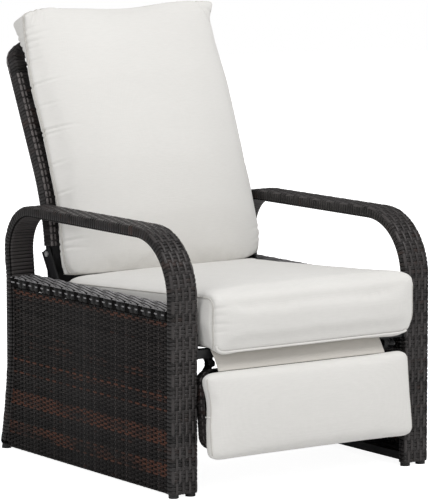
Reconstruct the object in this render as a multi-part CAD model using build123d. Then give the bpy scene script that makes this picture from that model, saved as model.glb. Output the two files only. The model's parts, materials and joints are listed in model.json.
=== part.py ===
from build123d import *
from math import cos, degrees, hypot, radians, sin, tan
import os

# Reclining garden armchair: two looped side frames and a back of steel tube under woven wicker,
# loose cushions, and a footrest that is pushed out by links as the back leans.
# Millimetres and degrees. X runs across, the sitter faces -Y, +Z is up. Right is +X, which is the
# right as seen from the front. Pieces are drawn with y = 0 at the front of the front legs, and at
# the end the whole chair is moved so that the origin is the middle of its footprint on the floor.

# Side frames: a woven band over two parallel tubes, bent into leg, arm and rear leg
chair_width = 700
band_width = 66
frame_tube = 19
tube_wall = 1.2
weave_wall = 1.5
slip_fit = 0.2
band_corner = 5
arm_top = 578
front_bend_radius = 148
rear_bend_radius = 108
arm_reach = 695
foot_splay = 28
rear_leg_lean = 7.3
weave_bottom = 12
glide_floor = 3
waist_top = 409
panel_thickness = 6
panel_inset = 3
bottom_rail_width = 20
bottom_rail_depth = 18
bottom_rail_low = 13

# Seat frame
cushion_plane_front = 320
seat_slope = 3.3
soft_gap = 0.3
slat_thickness = 2
slat_width = 26
slat_count = 6
slat_inset = 60
slat_seat = 10
seat_rail_width = 25.6
seat_rail_depth = 20
seat_rail_clearance = 10.7
box_wall = 1.5
front_rail_front = 6
front_rail_width = 25
front_rail_depth = 19
seat_rail_end_gap = 86
cross_rail_size = 20
cross_rail_set = 31
cross_rail_drop = 50
flange_thickness = 2.5
front_flange_height = 55
rear_flange_height = 58
flange_width = 20
flange_bolt_low = 9
flange_bolt_pitch = 14
flange_bolt_radius = 3
flange_bolt_length = 12
flange_head_radius = 5.5
flange_head_height = 4
bolt_play = 0.3

# Back: hinge low behind the seat, bent side rails, woven panel
pivot_set = 60
pivot_drop = 24
back_low_lean = 6
back_high_lean = 25.5
back_bend_start = 185
back_bend_radius = 570
back_height = 945
back_tube_width = 25
back_tube_depth = 30
back_tube_wall = 2
back_weave_width = 32
back_weave_depth = 36
back_weave_corner = 5
back_weave_start = 186
back_corner_radius = 32
back_joint_drop = 64
side_play = 0.3
hinge_plate = 3
hinge_plate_reach = 69
hinge_plate_cover = 14
bush_radius = 7
pivot_bolt_radius = 5
pivot_head_radius = 8
pivot_head_height = 4.5
running_play = 0.05
tube_start = 26
tongue_length = 44
crank_thickness = 6
crank_width = 22
crank_boss_radius = 14
back_crank_length = 95
back_crank_lean = 26
panel_offset = 8
back_panel_thickness = 6
back_panel_top_gap = 28
panel_bar = 10
low_bar_along = 106
low_bar_size = 20

# Stay bars: folded channels pinned to the back rails, sliding on a guide pin at the seat rail
stay_bolt_along = 167
stay_lean = 31
stay_reach = 212
stay_web = 2
stay_depth = 5
stay_width = 31
stay_clearance = 6.5
stay_top_overhang = 12
stay_bottom_overhang = 10
stay_slot_play = 1.65
stay_slot_margin = 7
recline_range = 45
guide_pin_radius = 4
guide_collar_radius = 8
guide_head_radius = 7
guide_head_height = 2
stay_head_radius = 7
stay_head_height = 3

# Push links from the back cranks to the footrest cranks
link_thickness = 5
link_width = 20
link_pin_radius = 4
link_head_radius = 7
link_head_height = 3
open_pivot_play = 1.7
foot_crank_length = 79.7
foot_crank_lean = 30.25
foot_crank_set = 40.7
foot_crank_eye = 11

# Footrest: a woven tray over a bent tube loop, hinged under the front rail
foot_pivot_y = 8
foot_pivot_drop = 34
foot_ear_radius = 8
foot_ear_thickness = 3
foot_ear_root = 22
footrest_clearance = 5
footrest_height = 172
footrest_depth = 32
footrest_lean = 6.5
footrest_front = -13.5
footrest_top_drop = 44.5
footrest_corner = 30
tray_skin = 3
tray_rim = 2.5
foot_tube_width = 19
foot_tube_depth = 28
weld_gap = 0.3

# Cushions and the fabric flap
seat_cushion_front = -48
seat_cushion_back_gap = 39
seat_cushion_clearance = 13
seat_cushion_thickness = 113
seat_cushion_crown = 20
seat_cushion_bulge = 2
back_cushion_start = 124
back_cushion_end = 738
back_cushion_clearance = 3
back_seam_offset = 78
back_seam_width = 8
back_cushion_crown = 70
back_edge_bulge = 1
foot_cushion_inset = 1
foot_cushion_length = 192
foot_cushion_thickness = 26
foot_cushion_crown = 18
foot_cushion_rise = 4
foot_edge_bulge = 2
flap_inset = 58
flap_thickness = 2.5
flap_top_y = 2
flap_end_y = -22
flap_bow = 2
overrun = 60

# Shares of a cushion's length, half width, thickness (low and high face) and crown, end to end
seat_cushion_shares = (
    (0, 0.965, 0, 0.86, 0.25),
    (0.022, 0.99, 0, 0.965, 0.55),
    (0.07, 1, 0, 1, 0.8),
    (0.25, 0.988, 0, 1, 0.95),
    (0.5, 0.982, 0, 1, 1),
    (0.75, 0.988, 0, 1, 0.85),
    (0.94, 1, 0, 1, 0.5),
    (1, 0.985, 0, 0.94, 0.25),
)
foot_cushion_shares = (
    (0, 0.985, 0, 0.8, 0.2),
    (0.05, 1, 0, 1, 0.55),
    (0.22, 0.994, 0, 1, 0.9),
    (0.5, 0.99, 0, 1, 1),
    (0.78, 0.994, 0, 1, 0.9),
    (0.95, 1, 0, 1, 0.55),
    (1, 0.985, 0, 0.8, 0.2),
)
# Shares of the back cushion's length, half width, front crown and rear crown, bottom to top
back_cushion_shares = (
    (0, 0.972, 0.05, 0.05),
    (0.07, 0.975, 0.5, 0.6),
    (0.2, 0.968, 0.86, 0.92),
    (0.36, 0.966, 1, 0.985),
    (0.52, 0.968, 1, 0.985),
    (0.68, 0.974, 0.93, 0.985),
    (0.84, 0.984, 0.7, 0.85),
    (0.95, 0.994, 0.36, 0.45),
    (1, 1, 0.05, 0.05),
)

# Sizes that follow from the ones above
half_width = chair_width / 2
band_depth = frame_tube + 2 * (slip_fit + weave_wall)
band_inner = half_width - band_width
band_mid = half_width - band_width / 2
tube_radius = frame_tube / 2
rear_foot_reach = arm_reach + foot_splay
outer_tube_x = half_width - weave_wall - slip_fit - tube_radius
inner_tube_x = band_inner + weave_wall + slip_fit + tube_radius
seat_rail_outer = band_inner - seat_rail_clearance
seat_rail_inner = seat_rail_outer - seat_rail_width
seat_rail_mid = seat_rail_outer - seat_rail_width / 2
back_rail_x = seat_rail_mid
rail_top_drop = soft_gap + slat_thickness
cross_rail_front = arm_reach - cross_rail_set
cross_rail_low = cushion_plane_front - cross_rail_drop
seat_rail_end = cross_rail_front - seat_rail_end_gap
pivot_y = cross_rail_front - pivot_set
pivot_z = cushion_plane_front - pivot_drop
hinge_plate_front = pivot_y - hinge_plate_reach
stay_inner = band_inner - stay_clearance
foot_crank_inner = band_inner - foot_crank_set
foot_pivot_z = cushion_plane_front - foot_pivot_drop
footrest_top = cushion_plane_front - footrest_top_drop
footrest_half_width = band_inner - footrest_clearance
seat_cushion_back = pivot_y - seat_cushion_back_gap
seat_cushion_half_width = band_inner - seat_cushion_clearance
back_cushion_half_width = band_inner - back_cushion_clearance
foot_cushion_half_width = footrest_half_width - foot_cushion_inset
flap_half_width = band_inner - flap_inset
crank_inner = foot_crank_inner + crank_thickness + side_play + link_thickness + side_play
crank_outer = crank_inner + crank_thickness
link_inner = foot_crank_inner + crank_thickness + side_play
link_outer = link_inner + link_thickness
rear_leg_steps = 2000


def point_at(y, z, length, lean):
    """Point reached from (y, z) by going a length along a direction that leans back from upright."""
    return y + length * sin(radians(lean)), z + length * cos(radians(lean))


def turned(point, centre, angle):
    """The (y, z) point after the back or footrest has turned by an angle about its pivot."""
    y, z = point[0] - centre[0], point[1] - centre[1]
    c, s = cos(radians(angle)), sin(radians(angle))
    return centre[0] + y * c + z * s, centre[1] - y * s + z * c


def seat_plane(y):
    """Height of the seat cushion's underside at a place along the seat."""
    return cushion_plane_front - y * tan(radians(seat_slope))


def rail_top(y):
    return seat_plane(y) - rail_top_drop


pivot = (pivot_y, pivot_z)
foot_pivot = (foot_pivot_y, foot_pivot_z)
stay_bolt = point_at(*pivot, stay_bolt_along, back_low_lean)
guide_pin = point_at(*stay_bolt, -stay_reach, stay_lean)
back_link_eye = point_at(*pivot, -back_crank_length, -back_crank_lean)
foot_link_eye = point_at(*foot_pivot, -foot_crank_length, -foot_crank_lean)
stay_bolt_leaned = turned(stay_bolt, pivot, recline_range)
stay_reach_leaned = hypot(stay_bolt_leaned[0] - guide_pin[0], stay_bolt_leaned[1] - guide_pin[1])


def ring(radius, wall):
    return Circle(radius) - Circle(radius - wall)


def box_section(width, depth, wall):
    return Rectangle(width, depth) - Rectangle(width - 2 * wall, depth - 2 * wall)


def swept(section, path):
    """Section carried along a path, with its own x kept across the chair."""
    return sweep(Plane(origin=path @ 0, x_dir=(1, 0, 0), z_dir=path % 0) * section, path=path)


def straight(section, start, end):
    """Section extruded straight between two points of one side view."""
    run = Vector(*end) - Vector(*start)
    return extrude(Plane(origin=start, x_dir=(1, 0, 0), z_dir=run) * section, amount=run.length)


def crosswise(section, y, z, x_low, x_high):
    """Side-view section extruded across the chair; its own x runs back and its own y up."""
    place = Plane(origin=(x_low, y, z), x_dir=(0, 1, 0), z_dir=(1, 0, 0))
    return extrude(place * section, amount=x_high - x_low)


def plate(points, x_low, x_high):
    """Flat plate from the corners of its side view."""
    outline = make_face(Polyline(*points, close=True))
    return crosswise(outline, 0, 0, x_low, x_high)


def pin(place, radius, x_low, x_high):
    return crosswise(Circle(radius), place[0], place[1], x_low, x_high)


def hexagon(place, radius, x_low, x_high):
    return crosswise(RegularPolygon(radius, 6), place[0], place[1], x_low, x_high)


def lever(eyes, x_low, x_high):
    """Flat lever whose outline wraps its round eyes one after another."""
    outline = Sketch()
    for first, second in zip(eyes, eyes[1:]):
        discs = [Pos(y, z) * Circle(radius) for (y, z), radius in (first, second)]
        outline += make_hull(discs[0].edges() + discs[1].edges())
    return crosswise(outline, 0, 0, x_low, x_high)


def side_path(x, low):
    """Centre line of a side frame at one x: front leg, arm with its two bends, rear leg."""
    mid = band_depth / 2
    front_radius = front_bend_radius - mid
    rear_radius = rear_bend_radius - mid
    arm_z = arm_top - mid
    rear_centre = (arm_reach - rear_bend_radius, arm_z - rear_radius)
    leg = Line((mid, low), (mid, arm_z - front_radius))
    front_bend = CenterArc((front_bend_radius, arm_z - front_radius), front_radius, 180, -90)
    arm = Line((front_bend_radius, arm_z), (rear_centre[0], arm_z))
    rear_bend = CenterArc(rear_centre, rear_radius, 90, -90 - rear_leg_lean)
    foot = (rear_foot_reach - mid, 0)
    rear_leg = TangentArc(rear_bend @ 1, foot, tangent=rear_bend % 1)
    tail = Line(rear_leg @ 1, rear_leg @ 1 + (rear_leg % 1) * overrun)
    pieces = (leg, front_bend, arm, rear_bend, rear_leg, tail)
    return Plane.YZ.offset(x) * Wire([piece.edge() for piece in pieces])


def above(shape, height):
    return split(shape, bisect_by=Plane.XY.offset(height), keep=Keep.TOP)


def band_cavity():
    slot_width = band_width - 2 * weave_wall
    slot_depth = frame_tube + 2 * slip_fit
    return SlotOverall(slot_width, slot_depth)


def band_section():
    return RectangleRounded(band_width, band_depth, band_corner)


def flange_places():
    """Side-view places of the flange bolts, front pair then rear pair, on the tubes' line."""
    front_y = band_depth / 2
    front_z = front_flange_low + front_flange_height - flange_bolt_low
    rear_z = rear_flange_low + flange_bolt_low
    front = [(front_y, front_z - flange_bolt_pitch * i) for i in range(2)]
    rear = [(rear_leg_y(rear_z), rear_z + flange_bolt_pitch * i) for i in range(2)]
    return front + rear


def rear_leg_y(height):
    """Where the rear leg's centre line passes a height."""
    leg = side_path(0, -overrun)
    level = Plane.XY.offset(height)
    hits = [leg.position_at(share / rear_leg_steps) for share in range(rear_leg_steps + 1)]
    rear = [p for p in hits if p.Y > arm_reach / 2]
    return min(rear, key=lambda p: abs(level.to_local_coords(p).Z)).Y


front_rail_top = seat_plane(front_rail_front + front_rail_width) - soft_gap
front_rail_mid = (front_rail_front + front_rail_width / 2, front_rail_top - front_rail_depth / 2)
front_flange_low = front_rail_top - front_rail_depth
rear_flange_low = cross_rail_low + cross_rail_size - rear_flange_height
cross_rail_mid = (cross_rail_front + cross_rail_size / 2, cross_rail_low + cross_rail_size / 2)


def flange_bolt_holes(radius):
    start, end = band_inner - overrun, band_inner + flange_bolt_length
    return [pin(place, radius, start, end) for place in flange_places()]


def side_band():
    """Outer form of the woven band, which other pieces are cut to."""
    return swept(band_section(), side_path(band_mid, -overrun))


def side_wrap():
    sleeve = swept(band_section() - band_cavity(), side_path(band_mid, -overrun))
    return above(sleeve, weave_bottom) - flange_bolt_holes(flange_bolt_radius + bolt_play)


def side_tubes():
    pieces = []
    for x in (inner_tube_x, outer_tube_x):
        tube = above(swept(ring(tube_radius, tube_wall), side_path(x, -overrun)), glide_floor)
        if x == inner_tube_x:
            tube = tube - flange_bolt_holes(flange_bolt_radius + bolt_play)
        pieces.append(tube)
    return pieces


def waist_run(section, x):
    """A level piece at the waist, from the front leg to the rear leg, cut to the rear leg."""
    z = waist_top - band_depth / 2
    return straight(section, (x, band_depth, z), (x, rear_foot_reach, z))


def cut_to_band(shape):
    """Keep the part of a run that lies in front of the rear leg."""
    return Part() + (shape - band).solids().sort_by(Axis.Y)[0]


def waist_wrap():
    return cut_to_band(waist_run(band_section() - band_cavity(), band_mid))


def waist_tubes():
    runs = [waist_run(ring(tube_radius, tube_wall), x) for x in (inner_tube_x, outer_tube_x)]
    return [cut_to_band(run) for run in runs]


def side_panel():
    outer = half_width - panel_inset
    top = waist_top - band_depth
    corners = (
        (band_depth, weave_bottom),
        (rear_foot_reach, weave_bottom),
        (rear_foot_reach, top),
        (band_depth, top),
    )
    return cut_to_band(plate(corners, outer - panel_thickness, outer))


def bottom_rails():
    z = bottom_rail_low + bottom_rail_depth / 2
    section = box_section(bottom_rail_width, bottom_rail_depth, box_wall)
    inner = band_inner + bottom_rail_width / 2 + panel_inset
    outer = half_width - panel_inset - panel_thickness - bottom_rail_width / 2
    runs = [straight(section, (x, band_depth, z), (x, rear_foot_reach, z)) for x in (inner, outer)]
    return [cut_to_band(run) for run in runs]


def foot_glides():
    """A moulded cup on the end of each tube, under the woven band."""
    glides = []
    for x in (inner_tube_x, outer_tube_x):
        path = side_path(x, -overrun)
        for end, direction in ((path @ 0, path % 0), (path @ 1, path % 1)):
            upward = direction if direction.Z > 0 else direction * -1
            cup = Plane(origin=end, z_dir=upward)
            reach = 2 * overrun
            outer = extrude(cup * Circle(band_depth / 2), amount=reach)
            bore = extrude(cup * Circle(tube_radius + running_play), amount=reach)
            lower = Pos(end.X, end.Y, weave_bottom / 2) * Box(overrun, 2 * overrun, weave_bottom)
            glides.append((outer & lower) - above(bore, glide_floor))
    return glides


def seat_side_rail():
    start = front_rail_front + front_rail_width
    slope = tan(radians(seat_slope))
    half_depth = seat_rail_depth / 2 / cos(radians(seat_slope))
    start_z, end_z = [rail_top(y) - half_depth for y in (start, seat_rail_end)]
    lead = seat_rail_depth * slope / 2
    section = box_section(seat_rail_width, seat_rail_depth, box_wall)
    return straight(
        section, (seat_rail_mid, start + lead, start_z - lead * slope),
        (seat_rail_mid, seat_rail_end, end_z),
    )


def seat_front_rail():
    reach = band_inner - flange_thickness
    section = box_section(front_rail_width, front_rail_depth, box_wall)
    return crosswise(section, *front_rail_mid, -reach, reach)


def rear_cross_rail():
    reach = band_inner - flange_thickness
    section = box_section(cross_rail_size, cross_rail_size, box_wall)
    return crosswise(section, *cross_rail_mid, -reach, reach)


def seat_rear_rail():
    """Bar between the two side rails near their rear ends."""
    y = hinge_plate_front - seat_rail_depth
    z = rail_top(y + seat_rail_depth / 2) - seat_rail_depth / 2
    section = box_section(seat_rail_depth, seat_rail_depth, box_wall)
    return crosswise(section, y, z, -seat_rail_inner, seat_rail_inner)


def seat_slats():
    slats = []
    first = front_rail_front + front_rail_width + slat_inset
    last = seat_rail_end - slat_inset
    half_slat = slat_thickness / 2 / cos(radians(seat_slope))
    for i in range(slat_count):
        y = first + (last - first) * i / (slat_count - 1)
        place = Pos(0, y, rail_top(y) + half_slat) * Rot(X=-seat_slope)
        slats.append(place * Box(2 * (seat_rail_mid + slat_seat), slat_width, slat_thickness))
    return slats


def seat_flanges():
    """Plates that carry the ends of the front rail and the rear cross rail."""
    inner = band_inner - flange_thickness
    flanges = []
    for places, low, height in (
        (flange_places()[:2], front_flange_low, front_flange_height),
        (flange_places()[2:], rear_flange_low, rear_flange_height),
    ):
        section = Rectangle(flange_width, height)
        flange = crosswise(section, places[0][0], low + height / 2, inner, band_inner)
        flanges.append(flange - flange_bolt_holes(flange_bolt_radius + bolt_play))
    return flanges


def flange_bolts():
    inner = band_inner - flange_thickness
    bolts = []
    for place in flange_places():
        shank = pin(place, flange_bolt_radius, inner, band_inner + flange_bolt_length - bolt_play)
        head = hexagon(place, flange_head_radius, inner - flange_head_height, inner)
        bolts.append(shank + head)
    return bolts


def hinge_plates():
    """The two plates each side that carry the back's pivot, from seat rail to cross rail."""
    front, back = hinge_plate_front, cross_rail_front
    rise = hinge_plate_cover
    corners = (
        (front, rail_top(front) - seat_rail_depth),
        (seat_rail_end, rail_top(seat_rail_end) - seat_rail_depth),
        (back, cross_rail_low),
        (back, cross_rail_low + cross_rail_size),
        (pivot_y + rise, pivot_z + rise),
        (pivot_y - rise, pivot_z + rise),
        (seat_rail_end, rail_top(seat_rail_end)),
        (front, rail_top(front)),
    )
    plates = []
    for x_low in (seat_rail_inner - hinge_plate, seat_rail_outer):
        cheek = plate(corners, x_low, x_low + hinge_plate)
        hole = pin(pivot, pivot_bolt_radius + running_play, x_low - overrun, x_low + overrun)
        plates.append(cheek - hole)
    return plates


def guide_pins():
    """Shouldered pin on the seat rail that runs in the stay's slot."""
    web_outer = stay_inner + stay_web
    collar = pin(guide_pin, guide_collar_radius, seat_rail_outer, stay_inner - side_play)
    shank = pin(guide_pin, guide_pin_radius, seat_rail_outer, web_outer + side_play)
    start = web_outer + side_play
    head = pin(guide_pin, guide_head_radius, start, start + guide_head_height)
    return collar + shank + head


def foot_ears():
    """Two ears under the front rail that carry the footrest's hinge pin."""
    ears = []
    root_low = (foot_pivot_y, front_rail_top - front_rail_depth)
    for x_low in (
        foot_crank_inner - side_play - foot_ear_thickness,
        foot_crank_inner + crank_thickness + side_play,
    ):
        x_high = x_low + foot_ear_thickness
        root_y = front_rail_front
        corners = (
            (root_y, root_low[1]),
            (root_y + foot_ear_root, root_low[1]),
            (foot_pivot_y + foot_ear_radius, foot_pivot_z),
            (foot_pivot_y - foot_ear_radius, foot_pivot_z),
        )
        ear = plate(corners, x_low, x_high) + pin(foot_pivot, foot_ear_radius, x_low, x_high)
        ears.append(ear - pin(foot_pivot, link_pin_radius + running_play, x_low, x_high))
    return ears


def back_place(along, forward):
    """Side-view point and lean, at a distance up the back rail and forward of its centre line."""
    bend_length = radians(back_high_lean - back_low_lean) * back_bend_radius
    y, z = point_at(*pivot, min(along, back_bend_start), back_low_lean)
    lean = back_low_lean
    if along > back_bend_start:
        arc = min(along - back_bend_start, bend_length)
        lean = back_low_lean + degrees(arc / back_bend_radius)
        y += back_bend_radius * (cos(radians(back_low_lean)) - cos(radians(lean)))
        z += back_bend_radius * (sin(radians(lean)) - sin(radians(back_low_lean)))
        y, z = point_at(y, z, along - back_bend_start - arc, lean)
    return y - forward * cos(radians(lean)), z + forward * sin(radians(lean)), lean


def back_path(x, forward, start, end):
    """Line up the back frame between two distances from the pivot, at one x."""
    bend_end = back_bend_start + radians(back_high_lean - back_low_lean) * back_bend_radius
    stops = [start] + [s for s in (back_bend_start, bend_end) if start < s < end] + [end]
    edges = []
    for low, high in zip(stops, stops[1:]):
        ends = [back_place(s, forward)[:2] for s in (low, high)]
        middle = back_place((low + high) / 2, forward)[:2]
        curved = low >= back_bend_start and high <= bend_end
        edge = ThreePointArc(ends[0], middle, ends[1]) if curved else Line(*ends)
        edges.append(edge.edge())
    return Plane.YZ.offset(x) * Wire(edges)


def back_length():
    """Distance from the pivot to the centre of the top rail."""
    lean = radians(back_high_lean)
    top = back_height - sin(lean) * back_weave_depth / 2 - cos(lean) * back_weave_width / 2
    bend_end = back_bend_start + radians(back_high_lean - back_low_lean) * back_bend_radius
    return bend_end + (top - back_place(bend_end, 0)[1]) / cos(lean)


back_top = back_length()
back_joint = back_top - back_joint_drop


def back_top_path():
    """The top rail with its two corners, in the leaning plane of the upper back."""
    y, z, lean = back_place(back_top, 0)
    rear = (0, cos(radians(lean)), -sin(radians(lean)))
    place = Plane(origin=(0, y, z), x_dir=(1, 0, 0), z_dir=rear)
    x = back_rail_x
    corners = ((x, back_joint_drop), (x, 0), (-x, 0), (-x, back_joint_drop))
    return place * FilletPolyline(*corners, radius=back_corner_radius)


def back_tube_section():
    return box_section(back_tube_width, back_tube_depth, back_tube_wall)


def back_weave_section():
    hollow_width = back_tube_width + 2 * slip_fit
    hollow_depth = back_tube_depth + 2 * slip_fit
    outer = RectangleRounded(back_weave_width, back_weave_depth, back_weave_corner)
    return outer - Rectangle(hollow_width, hollow_depth)


def back_side_tube():
    tube = swept(back_tube_section(), back_path(back_rail_x, 0, tube_start, back_joint))
    reach = back_tube_width
    bolt_hole = pin(stay_bolt, guide_pin_radius + bolt_play, back_rail_x - reach, back_rail_x + reach)
    return tube - bolt_hole


def back_side_wrap():
    return swept(back_weave_section(), back_path(back_rail_x, 0, back_weave_start, back_joint))


def back_crank():
    """Plate in the foot of the back tube, with the hinge boss and the arm for the push link."""
    x_low, x_high = crank_inner, crank_outer
    tongue_end = tube_start + tongue_length
    half_tongue = back_tube_depth / 2 - back_tube_wall - slip_fit
    low_front = back_place(0, half_tongue)[:2]
    high_front = back_place(tongue_end, half_tongue)[:2]
    high_rear = back_place(tongue_end, -half_tongue)[:2]
    low_rear = back_place(0, -half_tongue)[:2]
    tongue = plate((low_front, high_front, high_rear, low_rear), x_low, x_high)
    arm = lever(((pivot, crank_boss_radius), (back_link_eye, crank_width / 2)), x_low, x_high)
    half_boss = back_tube_width / 2
    boss = pin(pivot, crank_boss_radius, back_rail_x - half_boss, back_rail_x + half_boss)
    bush_hole = pin(pivot, bush_radius, back_rail_x - overrun, back_rail_x + overrun)
    eye = pin(back_link_eye, link_pin_radius, x_low - overrun, x_high + overrun)
    return tongue + arm + boss - bush_hole - eye


def pivot_bush():
    half_boss = back_tube_width / 2
    body = pin(pivot, bush_radius, back_rail_x - half_boss, back_rail_x + half_boss)
    bore = pivot_bolt_radius + running_play
    return body - pin(pivot, bore, back_rail_x - overrun, back_rail_x + overrun)


def pivot_bolt():
    inner = seat_rail_inner - hinge_plate
    outer = seat_rail_outer + hinge_plate
    shank = pin(pivot, pivot_bolt_radius, inner, outer)
    head = hexagon(pivot, pivot_head_radius, outer, outer + pivot_head_height)
    nut = hexagon(pivot, pivot_head_radius, inner - pivot_head_height, inner)
    return shank + head, nut


def back_top_tube():
    return swept(back_tube_section(), back_top_path())


def back_top_wrap():
    return swept(back_weave_section(), back_top_path())


def back_low_bar():
    """Bare bar across the foot of the back, between the side tubes."""
    y, z, lean = back_place(low_bar_along, 0)
    section = Rot(Z=-lean) * box_section(low_bar_size, low_bar_size, box_wall)
    reach = back_rail_x - back_tube_width / 2
    return crosswise(section, y, z, -reach, reach)


def back_panel_span():
    start = low_bar_along + low_bar_size / 2
    end = back_top - back_weave_width / 2 - back_panel_top_gap
    return start, end


def back_panel():
    start, end = back_panel_span()
    width = 2 * (back_rail_x - back_weave_width / 2)
    path = back_path(0, panel_offset, start, end)
    return swept(Rectangle(width, back_panel_thickness), path)


def back_panel_bar():
    """Thin bar that carries the panel's top edge."""
    y, z, _ = back_place(back_panel_span()[1] + panel_bar / 2, panel_offset)
    reach = back_rail_x - back_weave_width / 2
    return crosswise(Circle(panel_bar / 2), y, z, -reach, reach)


def stay_bar():
    """Folded channel with a slot, hung on the back rail beside the seat."""
    bottom = stay_reach_leaned + stay_slot_margin + stay_slot_half() + stay_bottom_overhang
    top = -stay_top_overhang
    outline = Pos(0, -(top + bottom) / 2) * Rectangle(stay_width, bottom - top)
    hollow = Pos(0, -(top + bottom) / 2) * Rectangle(stay_width - 2 * stay_web, bottom - top)
    slot_top, slot_bottom = stay_reach - stay_slot_margin, stay_reach_leaned + stay_slot_margin
    slot_mid = (slot_top + slot_bottom) / 2
    slot_span = SlotCenterToCenter(slot_bottom - slot_top, 2 * stay_slot_half())
    slot = Pos(0, -slot_mid) * (Rot(Z=90) * slot_span)
    bolt_hole = Circle(guide_pin_radius + running_play)
    place = Plane(origin=(stay_inner, *stay_bolt), x_dir=(0, *stay_across()), z_dir=(1, 0, 0))
    web = extrude(place * (outline - slot - bolt_hole), amount=stay_web)
    sides = extrude(place.offset(stay_web) * (outline - hollow), amount=stay_depth - stay_web)
    return web + sides


def stay_slot_half():
    return guide_pin_radius + stay_slot_play


def stay_across():
    """Direction across the stay bar in the side view."""
    return cos(radians(stay_lean)), -sin(radians(stay_lean))


def stay_bolt_piece():
    """Bolt through the back tube, with a spacer against the bar."""
    tube_outer = back_rail_x + back_tube_width / 2
    tube_inner = back_rail_x - back_tube_width / 2
    web_outer = stay_inner + stay_web + side_play
    shank = pin(stay_bolt, guide_pin_radius, tube_inner, web_outer)
    head = hexagon(stay_bolt, stay_head_radius, web_outer, web_outer + stay_head_height)
    nut = hexagon(stay_bolt, stay_head_radius, tube_inner - stay_head_height, tube_inner)
    spacer = pin(stay_bolt, guide_collar_radius, tube_outer, stay_inner - side_play)
    return shank + head, nut, spacer - pin(stay_bolt, guide_pin_radius, tube_outer, stay_inner)


def push_link():
    eyes = ((back_link_eye, link_width / 2), (foot_link_eye, link_width / 2))
    bar = lever(eyes, link_inner, link_outer)
    fixed = pin(back_link_eye, link_pin_radius + running_play, link_inner, link_outer)
    open_eye = pin(foot_link_eye, link_pin_radius + open_pivot_play, link_inner, link_outer)
    return bar - fixed - open_eye


def link_pin(place, x_low, x_high):
    """Pin with a head at each end; it is held fast by the crank and the link turns on it."""
    shank = pin(place, link_pin_radius, x_low - link_head_height, x_high + link_head_height)
    for start in (x_low - link_head_height, x_high):
        shank = shank + pin(place, link_head_radius, start, start + link_head_height)
    return shank


def footrest_plane():
    """Plane of the tray's face: own x across, own y down the face, own z to the rear."""
    rear = (0, cos(radians(footrest_lean)), -sin(radians(footrest_lean)))
    return Plane(origin=(0, footrest_front, footrest_top), x_dir=(1, 0, 0), z_dir=rear)


def footrest_tray():
    middle = Pos(0, footrest_height / 2)
    width = 2 * footrest_half_width
    outline = middle * RectangleRounded(width, footrest_height, footrest_corner)
    pocket = middle * RectangleRounded(
        width - 2 * tray_rim, footrest_height - 2 * tray_rim, footrest_corner - tray_rim)
    face = footrest_plane()
    body = extrude(face * outline, amount=footrest_depth)
    return body - extrude(face.offset(tray_skin) * pocket, amount=footrest_depth)


def footrest_frame():
    """Bent tube loop inside the tray, with its weld seam at the middle of the lower side."""
    inset = tray_rim + slip_fit + foot_tube_width / 2
    x = footrest_half_width - inset
    top, bottom = inset, footrest_height - inset
    bend = footrest_corner - inset
    corners = (
        (-weld_gap / 2, bottom), (-x, bottom), (-x, top), (x, top), (x, bottom),
        (weld_gap / 2, bottom),
    )
    depth = tray_skin + slip_fit + foot_tube_depth / 2
    path = footrest_plane().offset(depth) * FilletPolyline(*corners, radius=bend)
    section = box_section(foot_tube_depth, foot_tube_width, box_wall)
    start = Plane(origin=path @ 0, x_dir=footrest_plane().z_dir, z_dir=path % 0)
    return sweep(start * section, path=path)


def footrest_point(down, rear):
    """Side-view point at a depth down the tray's face and behind it."""
    place = footrest_plane().from_local_coords((0, down, rear))
    return place.Y, place.Z


def foot_crank():
    """Hinge plate behind the tray that carries the tray tube and the link eye."""
    weld_depth = tray_skin + slip_fit + foot_tube_depth
    knee = footrest_point(tray_rim + foot_tube_width / 2, weld_depth + foot_crank_eye)
    shin = footrest_point(footrest_height / 2, weld_depth + foot_crank_eye)
    x_low, x_high = foot_crank_inner, foot_crank_inner + crank_thickness
    chain = ((foot_pivot, foot_ear_radius), (knee, foot_crank_eye))
    body = lever(chain, x_low, x_high)
    arm = lever(((knee, foot_crank_eye), (foot_link_eye, foot_crank_eye)), x_low, x_high)
    brace = lever(((foot_link_eye, foot_crank_eye), (shin, foot_crank_eye)), x_low, x_high)
    holes = [pin(place, link_pin_radius, x_low, x_high) for place in (foot_pivot, foot_link_eye)]
    tray_space = extrude(
        footrest_plane() * (Pos(0, footrest_height / 2) * Rectangle(chair_width, footrest_height)),
        amount=footrest_depth)
    return body + arm + brace - holes - tray_space


def foot_hinge_pin():
    x_low = foot_crank_inner - side_play - foot_ear_thickness
    x_high = foot_crank_inner + crank_thickness + side_play + foot_ear_thickness
    return link_pin(foot_pivot, x_low - side_play, x_high + side_play)


def bowed(start, end, rise):
    """Edge that bows by a rise to the right of its direction, or a line where there is none."""
    if rise == 0:
        return Line(start, end).edge()
    run = (end[0] - start[0], end[1] - start[1])
    length = hypot(*run)
    middle = ((start[0] + end[0]) / 2 + rise * run[1] / length,
              (start[1] + end[1]) / 2 - rise * run[0] / length)
    return ThreePointArc(start, middle, end).edge()


def soft_section(place, half, low, high, low_crown, high_crown, bulge):
    """Four-sided cushion section: bottom, side, crowned top and side."""
    corners = ((-half, low), (half, low), (half, high), (-half, high))
    rises = (low_crown, bulge, high_crown, bulge)
    ends = corners[1:] + corners[:1]
    edges = [bowed(start, end, rise) for start, end, rise in zip(corners, ends, rises)]
    return place * make_face(Wire(edges))


def seat_cushion():
    sections = []
    length = seat_cushion_back - seat_cushion_front
    for along, width, low, high, crown in seat_cushion_shares:
        y = seat_cushion_front + along * length
        place = Plane(origin=(0, y, seat_plane(y)), x_dir=(1, 0, 0), z_dir=(0, -1, 0))
        sections.append(soft_section(
            place, seat_cushion_half_width * width, seat_cushion_thickness * low,
            seat_cushion_thickness * high, 0, seat_cushion_crown * crown, seat_cushion_bulge))
    return loft(sections, ruled=True)


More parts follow.
